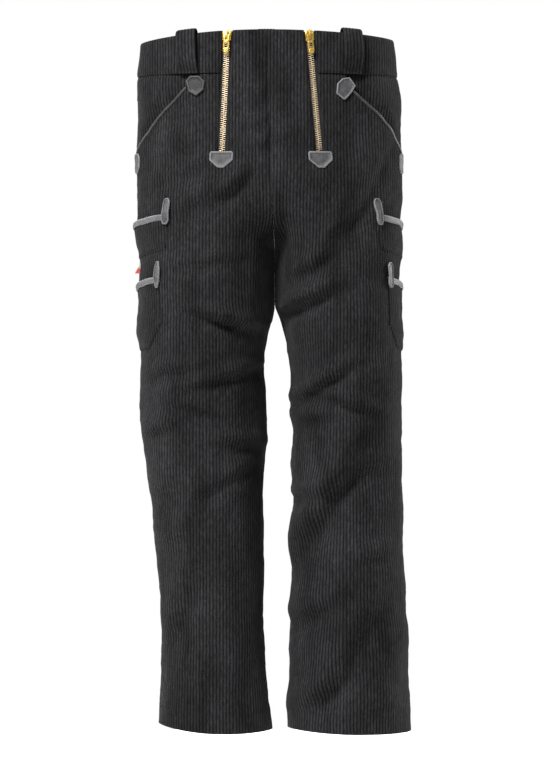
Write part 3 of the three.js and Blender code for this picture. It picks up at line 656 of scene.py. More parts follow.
cotton = cotton_finish("black_cotton", 0.005, 0.013)
halves, facings = [], []
for word, side in SIDES.items():
    halves.append(cloth_panel(f"waistband_{word}", side, [
        (heights(-WAISTBAND, -4, 5) + [-2, -0.9, 0], past_zip(side, SLIT), 1),
    ], lift=0.9, thick=2.3, roll=(1.3, 0.8), free=("top", "bottom")))
    facings.append(cloth_panel(f"band_facing_{word}", side, [
        (heights(-54, -3, 8), past_zip(side, SLIT + 7), 1),
    ], lift=-2.2, thick=1.1, ribs=0.0, roll=(0, 0), materials=[cotton, cotton]))
    v = np.linspace(0, 1, 160)
    for row in (-WAISTBAND + 3.2, -4.2):
        first = past_zip(side, SLIT)(row)
        stitch_on("black", side, first + 0.012 + (1 - first - 0.014) * v, row, 1.0)
waistband = joined("waistband_cloth", halves)
sewn(waistband, ["waistband"])
band_facing = joined("waistband_lining_cloth", facings)
sewn(band_facing, ["waistband_lining"])

# ---------------------------------------------------------------------------------------------
# Five belt loops of doubled corduroy, with the ribs running up them. Each goes over the band's top
# edge, stands clear of it for the belt, and is tacked across at its lower end.
LOOP_HALF = 14.0
LOOP_RIB = 4.67
LOOP_PATH = [(-3.6, -15), (-3.6, -5), (-2.9, 1.6), (-0.4, 4.6), (3.2, 5.6), (7.4, 3.6), (9.8, -3),
             (11.0, -14), (11.3, -28), (10.4, -42), (8.0, -52), (5.0, -58), (3.6, -61.5), (3.3, -64.5)]


def curve_through(points, n):
    """An even, smooth line through a few (across, along) points."""
    points = np.array(points, float)
    padded = np.vstack([2 * points[0] - points[1], points, 2 * points[-1] - points[-2]])
    line = []
    for a, b, c, d in zip(padded[:-3], padded[1:-2], padded[2:-1], padded[3:]):
        t = np.linspace(0, 1, 20, endpoint=False)[:, None]
        line.append(0.5 * (2 * b + (c - a) * t + (2 * a - 5 * b + 4 * c - d) * t**2
                           + (3 * b - a - 3 * c + d) * t**3))
    line = np.vstack(line + [points[-1:]])
    gone = np.concatenate([[0], np.cumsum(np.linalg.norm(np.diff(line, axis=0), axis=1))])
    even = np.linspace(0, gone[-1], n)
    return np.stack([np.interp(even, gone, line[:, k]) for k in range(line.shape[1])], axis=1), gone[-1]


def grid_faces(rows, columns, wrap=False):
    across = columns if wrap else columns - 1
    return [[r * columns + c, r * columns + (c + 1) % columns, (r + 1) * columns + (c + 1) % columns,
             (r + 1) * columns + c] for r in range(rows - 1) for c in range(across)]


def belt_loop(name, x_middle, side, back):
    """side 0 is the centre back, where the loop lies across both halves."""
    path, length = curve_through(LOOP_PATH, 64)
    along = np.gradient(path, axis=0)
    normal = np.stack([-along[:, 1], along[:, 0]], axis=1)
    normal /= np.linalg.norm(normal, axis=1, keepdims=True)
    t = np.linspace(-LOOP_HALF, LOOP_HALF, 29)
    edge = 1 - np.abs(t / LOOP_HALF) ** 10
    rib = np.abs(np.sin(np.pi * (t + LOOP_HALF) / LOOP_RIB)) ** 0.8
    skins = []
    for raise_by in ((0.7 + 0.5 * rib) * edge + 0.25, -0.75 * edge - 0.2):
        line = path[:, None, :] + normal[:, None, :] * raise_by[None, :, None]
        z = line[..., 1]
        x = x_middle + t[None, :] + 0 * z
        if side:
            u = u_at_x(side, x, np.minimum(z, 0), back)
            skins.append(spot(side, u, z, line[..., 0]))
        else:
            both = [spot(s, u_at_x(s, np.abs(x), np.minimum(z, 0), True), z, line[..., 0]) for s in (-1, 1)]
            skins.append(np.where((x < 0)[..., None], both[0], both[1]))
    uv = np.stack(np.broadcast_arrays(t[None, :] + LOOP_HALF, np.linspace(0, length, 64)[:, None]), axis=-1)
    uv = uv.reshape(-1, 2) * [RIB / LOOP_RIB, 1]
    o = closed_shell(name, *skins, grid_faces(64, 29), [corduroy, wrong_side], uv=uv)
    cut_to(o, 2 * LOOP_HALF, length, 2 * LOOP_HALF * length)
    # tacked across in two short rows at its foot
    for row in (skins[0][59], skins[0][61]):
        up = np.cross(row[-1] - row[0], skins[0][61, 14] - skins[0][57, 14])
        up *= np.sign(np.dot(up, skins[0][59, 14] - skins[1][59, 14])) / np.linalg.norm(up)
        stitch("black", row[2:-2], np.tile(up, (25, 1)), spacing=1.5, length=1.3, thick=0.4)
    return o


for word, side in SIDES.items():
    for where, x, back in (("front", {1: 125, -1: 116}[side], False), ("back", 112, True)):
        loop = belt_loop(f"belt_loop_{where}_{word}_cloth", x, side, back)
        sewn(loop, [f"belt_loop_{where}_{word}"])
loop = belt_loop("belt_loop_centre_back_cloth", 0, 0, True)
sewn(loop, ["belt_loop_centre_back"])

# ---------------------------------------------------------------------------------------------
# The leather: grey or near-black cowhide, just under two millimetres thick, cut as corner patches, end
# bars and edge bindings. It is raised round its rim and sewn down, and the rim is painted paler, partly
# for rubbed wear and partly as a painted highlight on the raised edge.
LEATHER = 1.9


def leather_finish(name, dark, light):
    m, tree, shader = new_material(name, 0.6, 0.26)
    cells = on_piece(tree, "ShaderNodeTexVoronoi", Scale=720, feature="F1")
    pores = noise(tree, 1500, (1, 1, 1), 3, 0.7)
    wear = noise(tree, 130, (1, 1, 1), 4, 0.65)
    rim = node(tree, "ShaderNodeAttribute", attribute_name="rim")
    # the wear noise and the rim paint the leather paler: rubbed wear, and on the rim a painted highlight too
    wear_and_rim_highlight = mixed(tree, wear, 0.55, rim.outputs["Fac"], 0.42, clamp=True)
    colour = ramp(tree, wear_and_rim_highlight, (0.18, grey(dark)), (0.45, grey((dark + light) / 2.4)), (0.85, grey(light)))
    grain = ramp(tree, cells.outputs["Distance"], (0.0, grey(0.7)), (0.5, grey(1.08)))
    tree.links.new(blend(tree, "MULTIPLY", 1.0, colour, grain), shader.inputs["Base Color"])
    tree.links.new(ramp(tree, wear, (0.3, grey(0.52)), (0.7, grey(0.74))), shader.inputs["Roughness"])
    bump(tree, shader, mixed(tree, cells.outputs["Distance"], 0.8, pores, 0.3), 0.35, 0.0005)
    return m


leather = leather_finish("grey_leather", 0.016, 0.092)
# near-black leather for the mouth bindings; on the right upper patch it is a painted shaded copy of the grey
near_black_and_shaded_leather = leather_finish("near_black_and_shaded_leather", 0.0035, 0.024)


def paint_wear_and_highlight(o, wear_and_rim_highlight):
    """Marks how pale each point of the outer skin is painted, for rubbed wear and as a painted highlight on
    the rim; the skin below it likewise.
    """
    layer = o.data.attributes.new("rim", "FLOAT", "POINT")
    layer.data.foreach_set("value", np.concatenate([wear_and_rim_highlight, wear_and_rim_highlight]))


def rounded_outline(corners, inset, radius, per_arc=5, per_edge=6):
    """The corners, drawn in by inset and rounded, always with the same number of points."""
    p = np.array(corners, float)
    if np.cross(p[1] - p[0], p[2] - p[1]) < 0:
        p = p[::-1]
    n = len(p)
    edge = np.roll(p, -1, axis=0) - p
    edge /= np.linalg.norm(edge, axis=1, keepdims=True)
    inward_normal = np.stack([-edge[:, 1], edge[:, 0]], axis=1)
    cut = []
    for k in range(n):
        a, b = edge[k - 1], edge[k]
        turn = np.arctan2(np.cross(a, b), np.dot(a, b))
        out_dir = inward_normal[k - 1] + inward_normal[k]
        corner = p[k] + out_dir * inset / (1 + np.dot(inward_normal[k - 1], inward_normal[k]))
        r = max(radius - inset, 0.3)
        reach = r * math.tan(turn / 2)
        centre = corner - a * reach + inward_normal[k - 1] * r
        angles = math.atan2(*(-inward_normal[k - 1])[::-1]) + np.linspace(0, turn, per_arc)
        cut.append(centre + r * np.stack([np.cos(angles), np.sin(angles)], axis=1))
    line = []
    for k in range(n):
        line.append(cut[k])
        a, b = cut[k][-1], cut[(k + 1) % n][0]
        line.append(a + (b - a) * np.linspace(0, 1, per_edge + 2)[1:-1, None])
    return np.vstack(line)


def leather_patch(name, side, corners, place, lift, radius, rim, thick=LEATHER, finish=leather):
    """A sewn-down patch with a raised rim. place turns its own (a, b) into u, z and the cloth's height."""
    corners, field = np.array(corners, float), 0.55
    middle = rounded_outline(corners, 0, radius).mean(axis=0)
    steps = [(0.0, 0.1), (0.12, 0.62), (0.55, 0.94), (1.1, 1.0), (rim - 0.5, 1.0), (rim, 0.9),
             (rim + 0.5, field)]
    # the rings inside the rim are painted paler: rubbed wear and a painted highlight on the raised edge
    rings = [(rounded_outline(corners, inset, radius), height, 1.0 if inset < rim else 0.0)
             for inset, height in steps]
    last = rings[-1][0]
    for share, height in ((0.66, field + 0.06), (0.33, field + 0.12), (0.02, field + 0.14)):
        rings.append((middle + (last - middle) * share, height, 0.0))
    count = len(last)
    ab = np.vstack([r for r, _, _ in rings])
    high = np.repeat([h * thick for _, h, _ in rings], count)
    wear_and_rim_highlight = np.repeat([w for _, _, w in rings], count)
    u, z, base = place(ab[:, 0], ab[:, 1])
    base = base + lift
    outer, inner = spot(side, u, z, base + high), spot(side, u, z, base)
    faces = grid_faces(len(rings), count, wrap=True) + [[(len(rings) - 1) * count + c for c in range(count)]]
    o = closed_shell(f"{name}_leather", outer, inner, faces, [finish])
    paint_wear_and_highlight(o, wear_and_rim_highlight)
    x, y = rounded_outline(corners, 0, radius).T
    cut_to(o, np.ptp(x), np.ptp(y), abs(np.dot(x, np.roll(y, -1)) - np.dot(y, np.roll(x, -1))) / 2)
    row = rounded_outline(corners, rim * 0.55, radius)
    row = np.vstack([row, row[:1]])
    u, z, base = place(row[:, 0], row[:, 1])
    stitch("grey", spot(side, u, z, base + lift + thick + 0.05),
           outward(surface, side, u, np.minimum(z, 0)), spacing=2.7, length=1.7, thick=0.3)
    sewn(o, [name])


def strip(name, side, u, z, off, half, high, finish=leather, across=13):
    """A narrow band along a line on the cloth, rounded over its top."""
    u, z, off = (np.asarray(v, float) + 0 * np.asarray(u, float) for v in (u, z, off))
    middle, up = spot(side, u, z, off), outward(surface, side, u, np.minimum(z, 0))
    along = np.gradient(middle, axis=0)
    over = np.cross(up, along)
    over /= np.linalg.norm(over, axis=1, keepdims=True)
    t = np.linspace(-1, 1, across)
    crown = (1 - np.abs(t) ** 4) ** 0.5 * 0.9 + 0.1
    inner = middle[:, None] + over[:, None] * (t * half * 0.97)[None, :, None]
    outer = middle[:, None] + over[:, None] * (t * half)[None, :, None]
    outer = outer + up[:, None] * (crown * high)[None, :, None]
    o = closed_shell(name, outer, inner, grid_faces(len(u), across), [finish])
    # its outer edges are painted paler: rubbed wear and a painted highlight
    paint_wear_and_highlight(o, np.tile(0.35 + 0.5 * (np.abs(t) > 0.6), len(u)))
    length = np.linalg.norm(np.diff(middle, axis=0), axis=1).sum()
    cut_to(o, 2 * half, length, 2 * half * length)
    return o


# ---------------------------------------------------------------------------------------------
# The front pockets. The front panel is cut away along a slanting curve, bound with a leather cord
# edge; behind it the hip is faced with corduroy and a cotton bag hangs inside. A leather patch guards
# the upper end of each mouth and a small one wraps the side seam at its lower end.
def facing_depth(u, z, from_first, from_last):
    """The facing lies deepest behind the mouth and comes up to the side seam."""
    gone = from_first - 14
    up = smooth(gone / np.maximum(gone + from_last, 1) * 2.2) * smooth((z - MOUTH_END) / 26)
    gape = 3.4 + 2.2 * smooth((-WAISTBAND - z) / 24) * smooth((z - MOUTH_END + 14) / 30)
    return gape * (1 - up) + 1.4 * smooth((z + WAISTBAND + 4) / 4)


TAG_Z = -194
for word, side in SIDES.items():
    behind = lambda z: float(u_at_x(side, min(float(mouth_x(max(z, -166))), 182) - 14, z))
    facing = cloth_panel(f"pocket_facing_{word}_cloth", side, [
        (heights(MOUTH_END + 1, -60, 5, -WAISTBAND), behind, 0.5),
    ], depth=facing_depth, roll=(0, 1.0))
    sewn(facing, [f"pocket_facing_{word}"])
    plies = []
    bag_edge = lambda x, toward: (lambda z: float(u_at_x(side, x + toward * max(0, (-270 - z) * 0.6), z)))
    for lift, bulge in ((-11.0, 0), (-14.5, -2.2)):
        plies.append(cloth_panel(f"bag_ply_{len(plies)}", side, [
            (heights(-292, -78, 9), bag_edge(98, 1), bag_edge(168, -1)),
        ], lift=lift, thick=0.9, ribs=0.0, roll=(bulge, bulge), materials=[cotton, cotton]))
    bag = joined(f"pocket_bag_{word}_cloth", plies)
    sewn(bag, [f"pocket_bag_{word}"])

    # the bound edge of the mouth
    line = np.linspace(-180, -85, 70)
    binding = strip(f"pocket_binding_{word}_leather", side, mouth_u(side, line) - 0.0035, line, 0.1, 2.0, 1.8,
                    near_black_and_shaded_leather, across=9)
    sewn(binding, [f"pocket_binding_{word}"])
    stitch_on("black", side, mouth_u(side, line) - 0.014, line, 0.5)

    # the upper patch lies aslant, its point downwards and its back corner at the binding
    shield = {1: [(-11, 7), (-3, 15), (8, 17), (16, 4), (9, -7), (-1, -18), (-13, -8)],
              -1: [(-13.5, 7), (-7, 14.5), (6, 14.5), (14, 6), (12, -6), (1, -15.5), (-9, -9)]}[side]
    middle_x, middle_z = {1: (113, -87), -1: (107, -83)}[side]
    on_front = lambda a, b: (u_at_x(side, middle_x + side * a, middle_z + b), middle_z + b, 0.0 * b)
    # both upper patches are the same leather, drawn grey on the left and near-black on the right as painted
    # light and shade
    leather_patch(f"pocket_patch_upper_{word}", side, shield, on_front, 1.9, 2.6, 2.4,
                  finish=leather if side > 0 else near_black_and_shaded_leather)

    # the lower patch, folded round the side seam
    tag = [(-8, 15), (8, 15), (12.5, 9), (12.5, -6), (6.5, -15), (-6.5, -15), (-12.5, -6), (-12.5, 9)]
    at_seam = lambda a, b: (u_at_arc(side, 12 - side * a, TAG_Z + b), TAG_Z + b, 0.0 * b)
    leather_patch(f"pocket_patch_lower_{word}", side, tag, at_seam, 0.9, 2.4, 2.4)

# ---------------------------------------------------------------------------------------------
# The two zips of the fall: heavy brass teeth on black woven tapes, a brass stop at the foot, and a
# slider with a long pull. They lie straight in a recess between the fall and the sides, in front of a
# corduroy shield, and a five-sided leather patch covers each foot.
SLIDER_Z, PIN_Y, CHAIN_Y, CHAIN_LENGTH = -7, -2.9, 4, 180
TOOTH_PITCH, TEETH = 3.2, 56
TAPE_WIDE, TAPE_LONG = 11.5, 183
SHIELD_HALF, SHIELD_TOP, SHIELD_FOOT = 20, -2, -196
ZIP_PATCH_TOP = -181


def zip_frame(word):
    """The zip's own frame: +Z up along the chain, -Y out of the garment."""
    joint = {j["name"]: j for j in frame["joints"]}
    across = -Vector(joint[f"pull_{word}_hinge"]["axis"])
    up = -Vector(joint[f"slider_{word}_slide"]["axis"])
    inwards = up.cross(across)
    origin = Vector(joint[f"pull_{word}_hinge"]["pos_m"]) - inwards * PIN_Y * MM - up * SLIDER_Z * MM
    m = Matrix.Identity(4)
    for k, axis in enumerate((across, inwards, up)):
        m.col[k][:3] = axis.normalized()
    m.col[3][:3] = origin
    return m


def brass_finish(name, colour, roughness):
    m, tree, shader = new_material(name, roughness, 0.5, metallic=1.0)
    tone = noise(tree, 300, (1, 1, 1), 3, 0.6)
    scratch = noise(tree, 900, (1, 1, 0.12), 2, 0.6)
    dull = tuple(c * 0.72 for c in colour)
    tree.links.new(ramp(tree, tone, (0.3, dull), (0.65, colour)), shader.inputs["Base Color"])
    tree.links.new(ramp(tree, scratch, (0.3, grey(roughness * 0.7)), (0.7, grey(roughness * 1.4))),
                   shader.inputs["Roughness"])
    bump(tree, shader, scratch, 0.12, 0.0002)
    return m


chain_brass = brass_finish("brass_teeth", (0.76, 0.62, 0.43), 0.4)
slider_brass = brass_finish("brass_slider", (0.62, 0.41, 0.10), 0.33)
tape_weave = cotton_finish("zip_tape_weave", 0.004, 0.012, 700)


def start_solid(name, low, high, material):
    """A block between two corners, alone selected."""
    bpy.ops.object.select_all(action="DESELECT")
    low, high = Vector(low) * MM, Vector(high) * MM
    bpy.ops.mesh.primitive_cube_add(size=1, location=(low + high) / 2)
    o = bpy.context.object
    o.name, o.scale = name, high - low
    bpy.ops.object.transform_apply(location=True, rotation=True, scale=True)
    o.data.materials.append(material)
    return o


def pick_faces(o, wanted):
    """Edit mode with only the faces selected whose centre, in millimetres, and normal are wanted."""
    bpy.ops.object.mode_set(mode="OBJECT")
    for part in (o.data.vertices, o.data.edges, o.data.polygons):
        part.foreach_set("select", [False] * len(part))
    for f in o.data.polygons:
        f.select = bool(wanted(f.center / MM, f.normal))
    bpy.ops.object.mode_set(mode="EDIT")
    bpy.ops.mesh.select_mode(type="FACE")


def bevel_all(o, width, segments=1, angle=35):
    """Rounds every edge sharper than the angle."""
    bpy.ops.object.mode_set(mode="OBJECT")
    b = o.modifiers.new("edges", "BEVEL")
    b.width, b.segments, b.limit_method, b.angle_limit = width * MM, segments, "ANGLE", math.radians(angle)
    bpy.context.view_layer.objects.active = o
    bpy.ops.object.modifier_apply(modifier=b.name)


def face_outwards():
    bpy.ops.object.mode_set(mode="EDIT")
    bpy.ops.mesh.select_all(action="SELECT")
    bpy.ops.mesh.normals_make_consistent(inside=False)
    bpy.ops.object.mode_set(mode="OBJECT")


def zip_teeth(name, sign):
    """One tooth, its nose narrowed, repeated down the chain."""
    z = 0 if sign > 0 else -TOOTH_PITCH / 2
    tooth = start_solid(name, (-1.0, CHAIN_Y - 1.45, z - 1.7), (4.5, CHAIN_Y + 1.45, z - 0.25), chain_brass)
    pick_faces(tooth, lambda c, n: n.x < -0.9)
    bpy.ops.transform.resize(value=(1, 0.72, 0.62))
    pick_faces(tooth, lambda c, n: n.x > 0.9)
    bpy.ops.transform.resize(value=(1, 0.8, 0.9))
    bevel_all(tooth, 0.28)
    if sign < 0:
        bpy.ops.transform.mirror(constraint_axis=(True, False, False), center_override=(0, 0, 0))
        bpy.ops.object.transform_apply(location=True, rotation=True, scale=True)
        face_outwards()
    row = tooth.modifiers.new("row", "ARRAY")
    row.count, row.use_relative_offset, row.use_constant_offset = TEETH, False, True
    row.constant_offset_displace = (0, 0, -TOOTH_PITCH * MM)
    bpy.ops.object.modifier_apply(modifier=row.name)
    return tooth


def fine_copy(name, node_name, width):
    """The shape of a CAD node again, with its edges eased."""
    o = bpy.data.objects.new(name, frame["nodes"][node_name].data.copy())
    bpy.context.collection.objects.link(o)
    pick(o)
    o.data.materials.clear()
    o.data.materials.append(slider_brass)
    bpy.ops.object.mode_set(mode="EDIT")
    bpy.ops.mesh.select_all(action="SELECT")
    bpy.ops.mesh.remove_doubles(threshold=0.00002)
    bpy.ops.mesh.dissolve_limited(angle_limit=math.radians(2))
    bpy.ops.object.mode_set(mode="OBJECT")
    bevel_all(o, width, 2, 40)
    return o


def bar(name, low, high, width):
    """A small brass block with rounded edges."""
    o = start_solid(name, low, high, slider_brass)
    bevel_all(o, width, 2, 30)
    return o


def fitted(parts, place, name, degrees):
    """Moves the parts drawn in the zip's frame to their place and joins them to the first piece."""
    for part in parts[1:]:
        part.data.transform(place)
    whole = joined(name, parts)
    finish_edges(whole, degrees)
    return whole


for word, side in SIDES.items():
    place = zip_frame(word)
    for sign, which in ((1, "outer" if side > 0 else "inner"), (-1, "inner" if side > 0 else "outer")):
        # the tape: flat, with a corded inner edge under the teeth
        z = np.linspace(-CHAIN_LENGTH - 4, -0.8, 60)
        t = np.linspace(0, 1, 15)
        x = 3.0 + TAPE_WIDE * t
        swell_by = 0.45 + 0.75 * np.exp(-((x - 4.0) / 0.9) ** 2)
        wave = 0.12 * np.sin(z * 0.9)[:, None] * (t > 0.3)[None, :]
        skins = [np.stack(np.broadcast_arrays(sign * x, CHAIN_Y + s * swell_by + wave, z[:, None]), -1)
                 for s in (-1, 1)]
        tape = closed_shell(f"zip_tape_{which}_{word}_weave", *skins, grid_faces(60, 15), [tape_weave])
        tape.data.transform(place)
        cut_to(tape, TAPE_WIDE, TAPE_LONG, TAPE_WIDE * TAPE_LONG)
        sewn(tape, [f"zip_tape_{which}_{word}"])
        teeth = zip_teeth(f"zip_teeth_{which}_{word}_brass", sign)
        teeth.data.transform(place)
        finish_edges(teeth, 30)
        sewn(teeth, [f"zip_teeth_{which}_{word}"])

    stop = bar(f"zip_stop_{word}_brass", (-4, 2.3, -CHAIN_LENGTH - 4.6), (4, 5.8, -CHAIN_LENGTH - 0.5), 0.7)
    stop.data.transform(place)
    finish_edges(stop, 30)
    sewn(stop, [f"zip_stop_{word}"])

    # the slider, with a raised crown between its shoulders and a rib down each side
    parts = [fine_copy(f"zip_slider_{word}_brass", f"zip_slider_{word}", 0.45),
             bar("crown", (-2.6, -1.7, SLIDER_Z + 5.6), (2.6, 0.4, SLIDER_Z + 8.4), 0.7)]
    for x in (-4.1, 4.1):
        parts.append(bar("shoulder", (x - 0.6, -1.5, SLIDER_Z - 7), (x + 0.6, 0.0, SLIDER_Z + 5), 0.45))
    slider = fitted(parts, place, f"zip_slider_{word}_brass", 35)
    sewn(slider, [f"zip_slider_{word}"], body=f"slider_{word}")

    # the pull, with cross ribs for the fingers
    parts = [fine_copy(f"zip_pull_{word}_brass", f"zip_pull_{word}", 0.35)]
    for z in (SLIDER_Z - 9.6, SLIDER_Z - 21, SLIDER_Z - 23, SLIDER_Z - 25):
        parts.append(bar("rib", (-3.4, PIN_Y - 1.35, z - 0.55), (3.4, PIN_Y - 0.4, z + 0.55), 0.35))
    pull = fitted(parts, place, f"zip_pull_{word}_brass", 35)
    sewn(pull, [f"zip_pull_{word}"], body=f"pull_{word}")

    # the shield behind
    z = np.linspace(SHIELD_FOOT, SHIELD_TOP, 42)
    x = np.arange(-SHIELD_HALF, SHIELD_HALF + 0.1, RIB / RIB_STEPS)
    ribs = RIB_HEIGHT * np.abs(np.sin(np.pi * x / RIB)) ** 0.8 - 0.9 * (np.abs(x) / SHIELD_HALF) ** 12
    skins = [np.stack(np.broadcast_arrays(x, y, z[:, None]), -1) for y in (9 - ribs, 11.0)]
    uv = np.stack(np.broadcast_arrays(x, z[:, None]), -1).reshape(-1, 2)
    shield = closed_shell(f"fly_shield_{word}_cloth", *skins, grid_faces(42, len(x)), [corduroy, wrong_side],
                          uv=uv)
    shield.data.transform(place)
    wide, tall = 2 * SHIELD_HALF, SHIELD_TOP - SHIELD_FOOT
    cut_to(shield, wide, tall, wide * tall)
    sewn(shield, [f"fly_shield_{word}"])

    # topstitching down both sides of the zip
    line = np.linspace(-186, -3, 90)
    for sign, z in ((-1, line), (1, line[line < -WAISTBAND - 2])):
        stitch_on("black", side, u_at_x(side, zip_x(side, z) + sign * (SLIT + 2.6), z), z, 0.5)

    # the leather patch at its foot
    pentagon = [(-16, 0), (16, 0), (17.6, -3.5), (17.6, -13), (4.5, -24.5), (-4.5, -24.5), (-17.6, -13),
                (-17.6, -3.5)]

    def on_zip(a, b):
        z = ZIP_PATCH_TOP + b
        return u_at_x(side, zip_x(side, z) + a, z), z, 0.0 * b

    leather_patch(f"zip_patch_{word}", side, pentagon, on_zip, 0.5, 2.2, 2.7,
                  thick=1.6)

# ---------------------------------------------------------------------------------------------
# Patch pockets: two down each thigh and one on each seat, of the same corduroy, sewn flat round three
# sides and standing open at the top, where a leather binding covers the edge. On the thighs an upright
# leather bar holds the front end of each mouth.
SWELL, POCKET_LIFT = 1.8, 1.9
FRONT_X = {"upper": 152.5, "lower": 167}
REAR_ARC = -70


def swell(from_first, from_last, above):
    """How far a filled pocket stands off the cloth."""
    return SWELL * smooth((np.minimum(from_first, from_last) - 2) / 24) * smooth((above - 2) / 26)


def arc_at_x(side, x, z):
    """The arc length from the side seam forwards to x."""
    s = from_crease(side, z, False)
    return float(np.interp(0.5, U, s) - np.interp(float(u_at_x(side, x, z)), U, s))


def patch_pocket(name, side, at_u, first, last, bottom, top, chamfer, back=False):
    """A pocket between two places across the cloth, which at_u turns, with a height, into u.

    bottom and top are the heights of its foot and mouth at the first and the last side, and chamfer
    is how wide and tall its lower corners are cut. Returns the line of its mouth."""
    low, high = bottom[0], top[0]
    share = lambda x: (x - first) / (last - first)
    wide, tall = chamfer
    inset = lambda z: wide * max(0.0, 1 - (z - low) / tall) if tall else 0.0
    toward = np.sign(last - first)
    start, end = (float(at_u(x, (low + high) / 2)) for x in (first, last))
    drop_low, drop_high = bottom[1] - low, top[1] - high
    slant = lambda t, z: z + t * (drop_low + (drop_high - drop_low) * (z - low) / (high - low))

    def depth(u, z, from_first, from_last):
        gape = 0.7 * smooth((z - high + 14) / 14) * smooth(np.minimum(from_first, from_last) / 30)
        return -swell(from_first, from_last, z - low) - gape

    zone = (heights(low, high - 1.5, 4.5) + [high - 0.7, high],
            lambda z: float(at_u(first + toward * inset(z), z)),
            lambda z: float(at_u(last - toward * inset(z), z)))
    pocket = cloth_panel(f"{name}_cloth", side, [zone], back=back, depth=depth, lift=POCKET_LIFT, thick=2.0,
                         warp=lambda u, z: slant(np.clip((u - start) / (end - start), 0, 1), z),
                         roll=(1.6, 1.6), free=("top", "bottom"))
    sewn(pocket, [name])
    # the stitching round its sides and foot
    x = np.linspace(first, last, 60)
    t = share(x)
    edge_low = low + 0 * x
    if tall:
        edge_low = low + tall * np.maximum(0, 1 - np.abs(x - np.where(t < 0.5, first, last)) / wide)
    for gap in (2.2, 7.5):
        inner = np.clip(x, min(first, last) + gap, max(first, last) - gap)
        stitch_on("black", side, at_u(inner, edge_low + gap), slant(t, edge_low + gap), POCKET_LIFT + 0.4)
        for at_end, sign in ((first, 1), (last, -1)):
            rise = np.linspace(low + tall + gap, high - 9, 40)
            x_row = np.full(40, at_end + sign * toward * gap)
            stitch_on("black", side, at_u(x_row, rise), slant(share(x_row), rise), POCKET_LIFT + 0.4)
    x = np.linspace(first, last, 70)
    t = share(x)
    ends = np.minimum(np.abs(x - first), np.abs(x - last))
    off = POCKET_LIFT + swell(ends, ends, high - low) + 0.7 * smooth(ends / 30)
    return x, slant(t, np.full(70, float(high))), off


def bound_mouth(name, pocket, side, at_u, x, z, off, half, stitch_z, thread_u):
    """The leather over the pocket's mouth, with one row of grey thread."""
    binding = strip(f"{name}_leather", side, at_u(x, z - 4), z - 4.2, off + 0.3, half, 1.6)
    sewn(binding, [name])
    stitch_on("grey", side, at_u(x, z - thread_u), z - stitch_z, off + 1.7, spacing=2.8, length=1.8,
              thick=0.3)


for word, side in SIDES.items():
    by_arc = lambda x, z: u_at_arc(side, x, z)
    for which, bottom, top, chamfer in (("upper", (-324, -346), (-272, -291), (0, 0)),
                                        ("lower", (-470, -476), (-365, -382), (34, 36))):
        first = arc_at_x(side, FRONT_X[which], top[0])
        name = f"thigh_pocket_{which}_{word}"
        mouth = patch_pocket(name, side, by_arc, first, REAR_ARC, bottom, top, chamfer)
        bound_mouth(f"thigh_binding_{which}_{word}", name, side, by_arc, *mouth, 4.6, 7.4, 4)
        # the bar over its front end
        middle, bar_z = first - 4.5, top[0] + 3
        # waisted, but for the lower right one, which is widest in its middle
        slim = which == "lower" and side < 0
        quarter = [(2.4, 19.5), (5.6, 8), (6.0, 0)] if slim else [(3.2, 19.5), (6.2, 14), (5.6, 0)]
        half = quarter + [(a, -b) for a, b in quarter[1::-1]]
        outline = [(-a, b) for a, b in half[:1]] + half + [(-a, b) for a, b in half[:0:-1]]

        def on_mouth(a, b):
            rise = 2.6 + 1.3 * np.exp(-((b + 3) / 7.0) ** 2)
            return u_at_arc(side, middle - a, bar_z + b), bar_z + b, rise

        leather_patch(f"thigh_bar_{which}_{word}", side, outline, on_mouth, 0.9, 2.4, 2.0,
                      thick=2.2)

    by_back = lambda x, z: u_at_x(side, x, z, back=True)
    name = f"back_pocket_{word}"
    mouth = patch_pocket(name, side, by_back, 146, 46, (-286, -286), (-146, -152), (22, 18), back=True)
    bound_mouth(f"back_binding_{word}", name, side, by_back, *mouth, 4.4, 7.2, 7)

# ---------------------------------------------------------------------------------------------
# A small plain red tab of woven tape with one pale stripe, caught in the edge of the upper thigh
# pocket on the right.
tab_red, tree, shader = new_material("red_woven_tab", 0.75, 0.15, sheen=(0.1, 0.5, (1, 0.7, 0.6)))
weave = on_piece(tree, "ShaderNodeTexWave", Scale=900, Distortion=0.5, bands_direction="Z")
split = node(tree, "ShaderNodeSeparateXYZ")
tree.links.new(node(tree, "ShaderNodeUVMap", uv_map="cloth").outputs["UV"], split.inputs["Vector"])
deep_red, tab_pale = (0.34, 0.05, 0.04), (0.42, 0.50, 0.42)
woven = ramp(tree, split.outputs["Y"], (0.0, deep_red), (0.0034, deep_red), (0.0036, tab_pale),
             (0.0106, tab_pale), (0.0108, (0.38, 0.055, 0.045)))
shade = ramp(tree, weave.outputs["Fac"], (0.2, grey(0.7)), (0.8, grey(1.05)))
tree.links.new(blend(tree, "MULTIPLY", 1.0, woven, shade), shader.inputs["Base Color"])
bump(tree, shader, weave.outputs["Fac"], 0.4, 0.0003)
TAB_LONG = 18.0
down, across = np.meshgrid(np.linspace(0, 1, 16), np.linspace(0, 1, 10), indexing="ij")
width = 4.5 + 9.5 * down
root = spot(-1, 0.457, -341, 1.6)
curl = 2.0 * np.sin(2.4 * down) - 2.5 * across
middle = root + np.stack([6.0 - width * across, curl, -TAB_LONG * down], axis=-1)
skins = [middle + np.array([0.0, s, 0.0]) for s in (-0.5, 0.5)]
uv = np.stack([width * across, TAB_LONG * down], axis=-1).reshape(-1, 2)
tab = closed_shell("side_tab_weave", *skins, grid_faces(16, 10), [tab_red], uv=uv)
cut_to(tab, 14, TAB_LONG, 166)
sewn(tab, ["side_tab"])

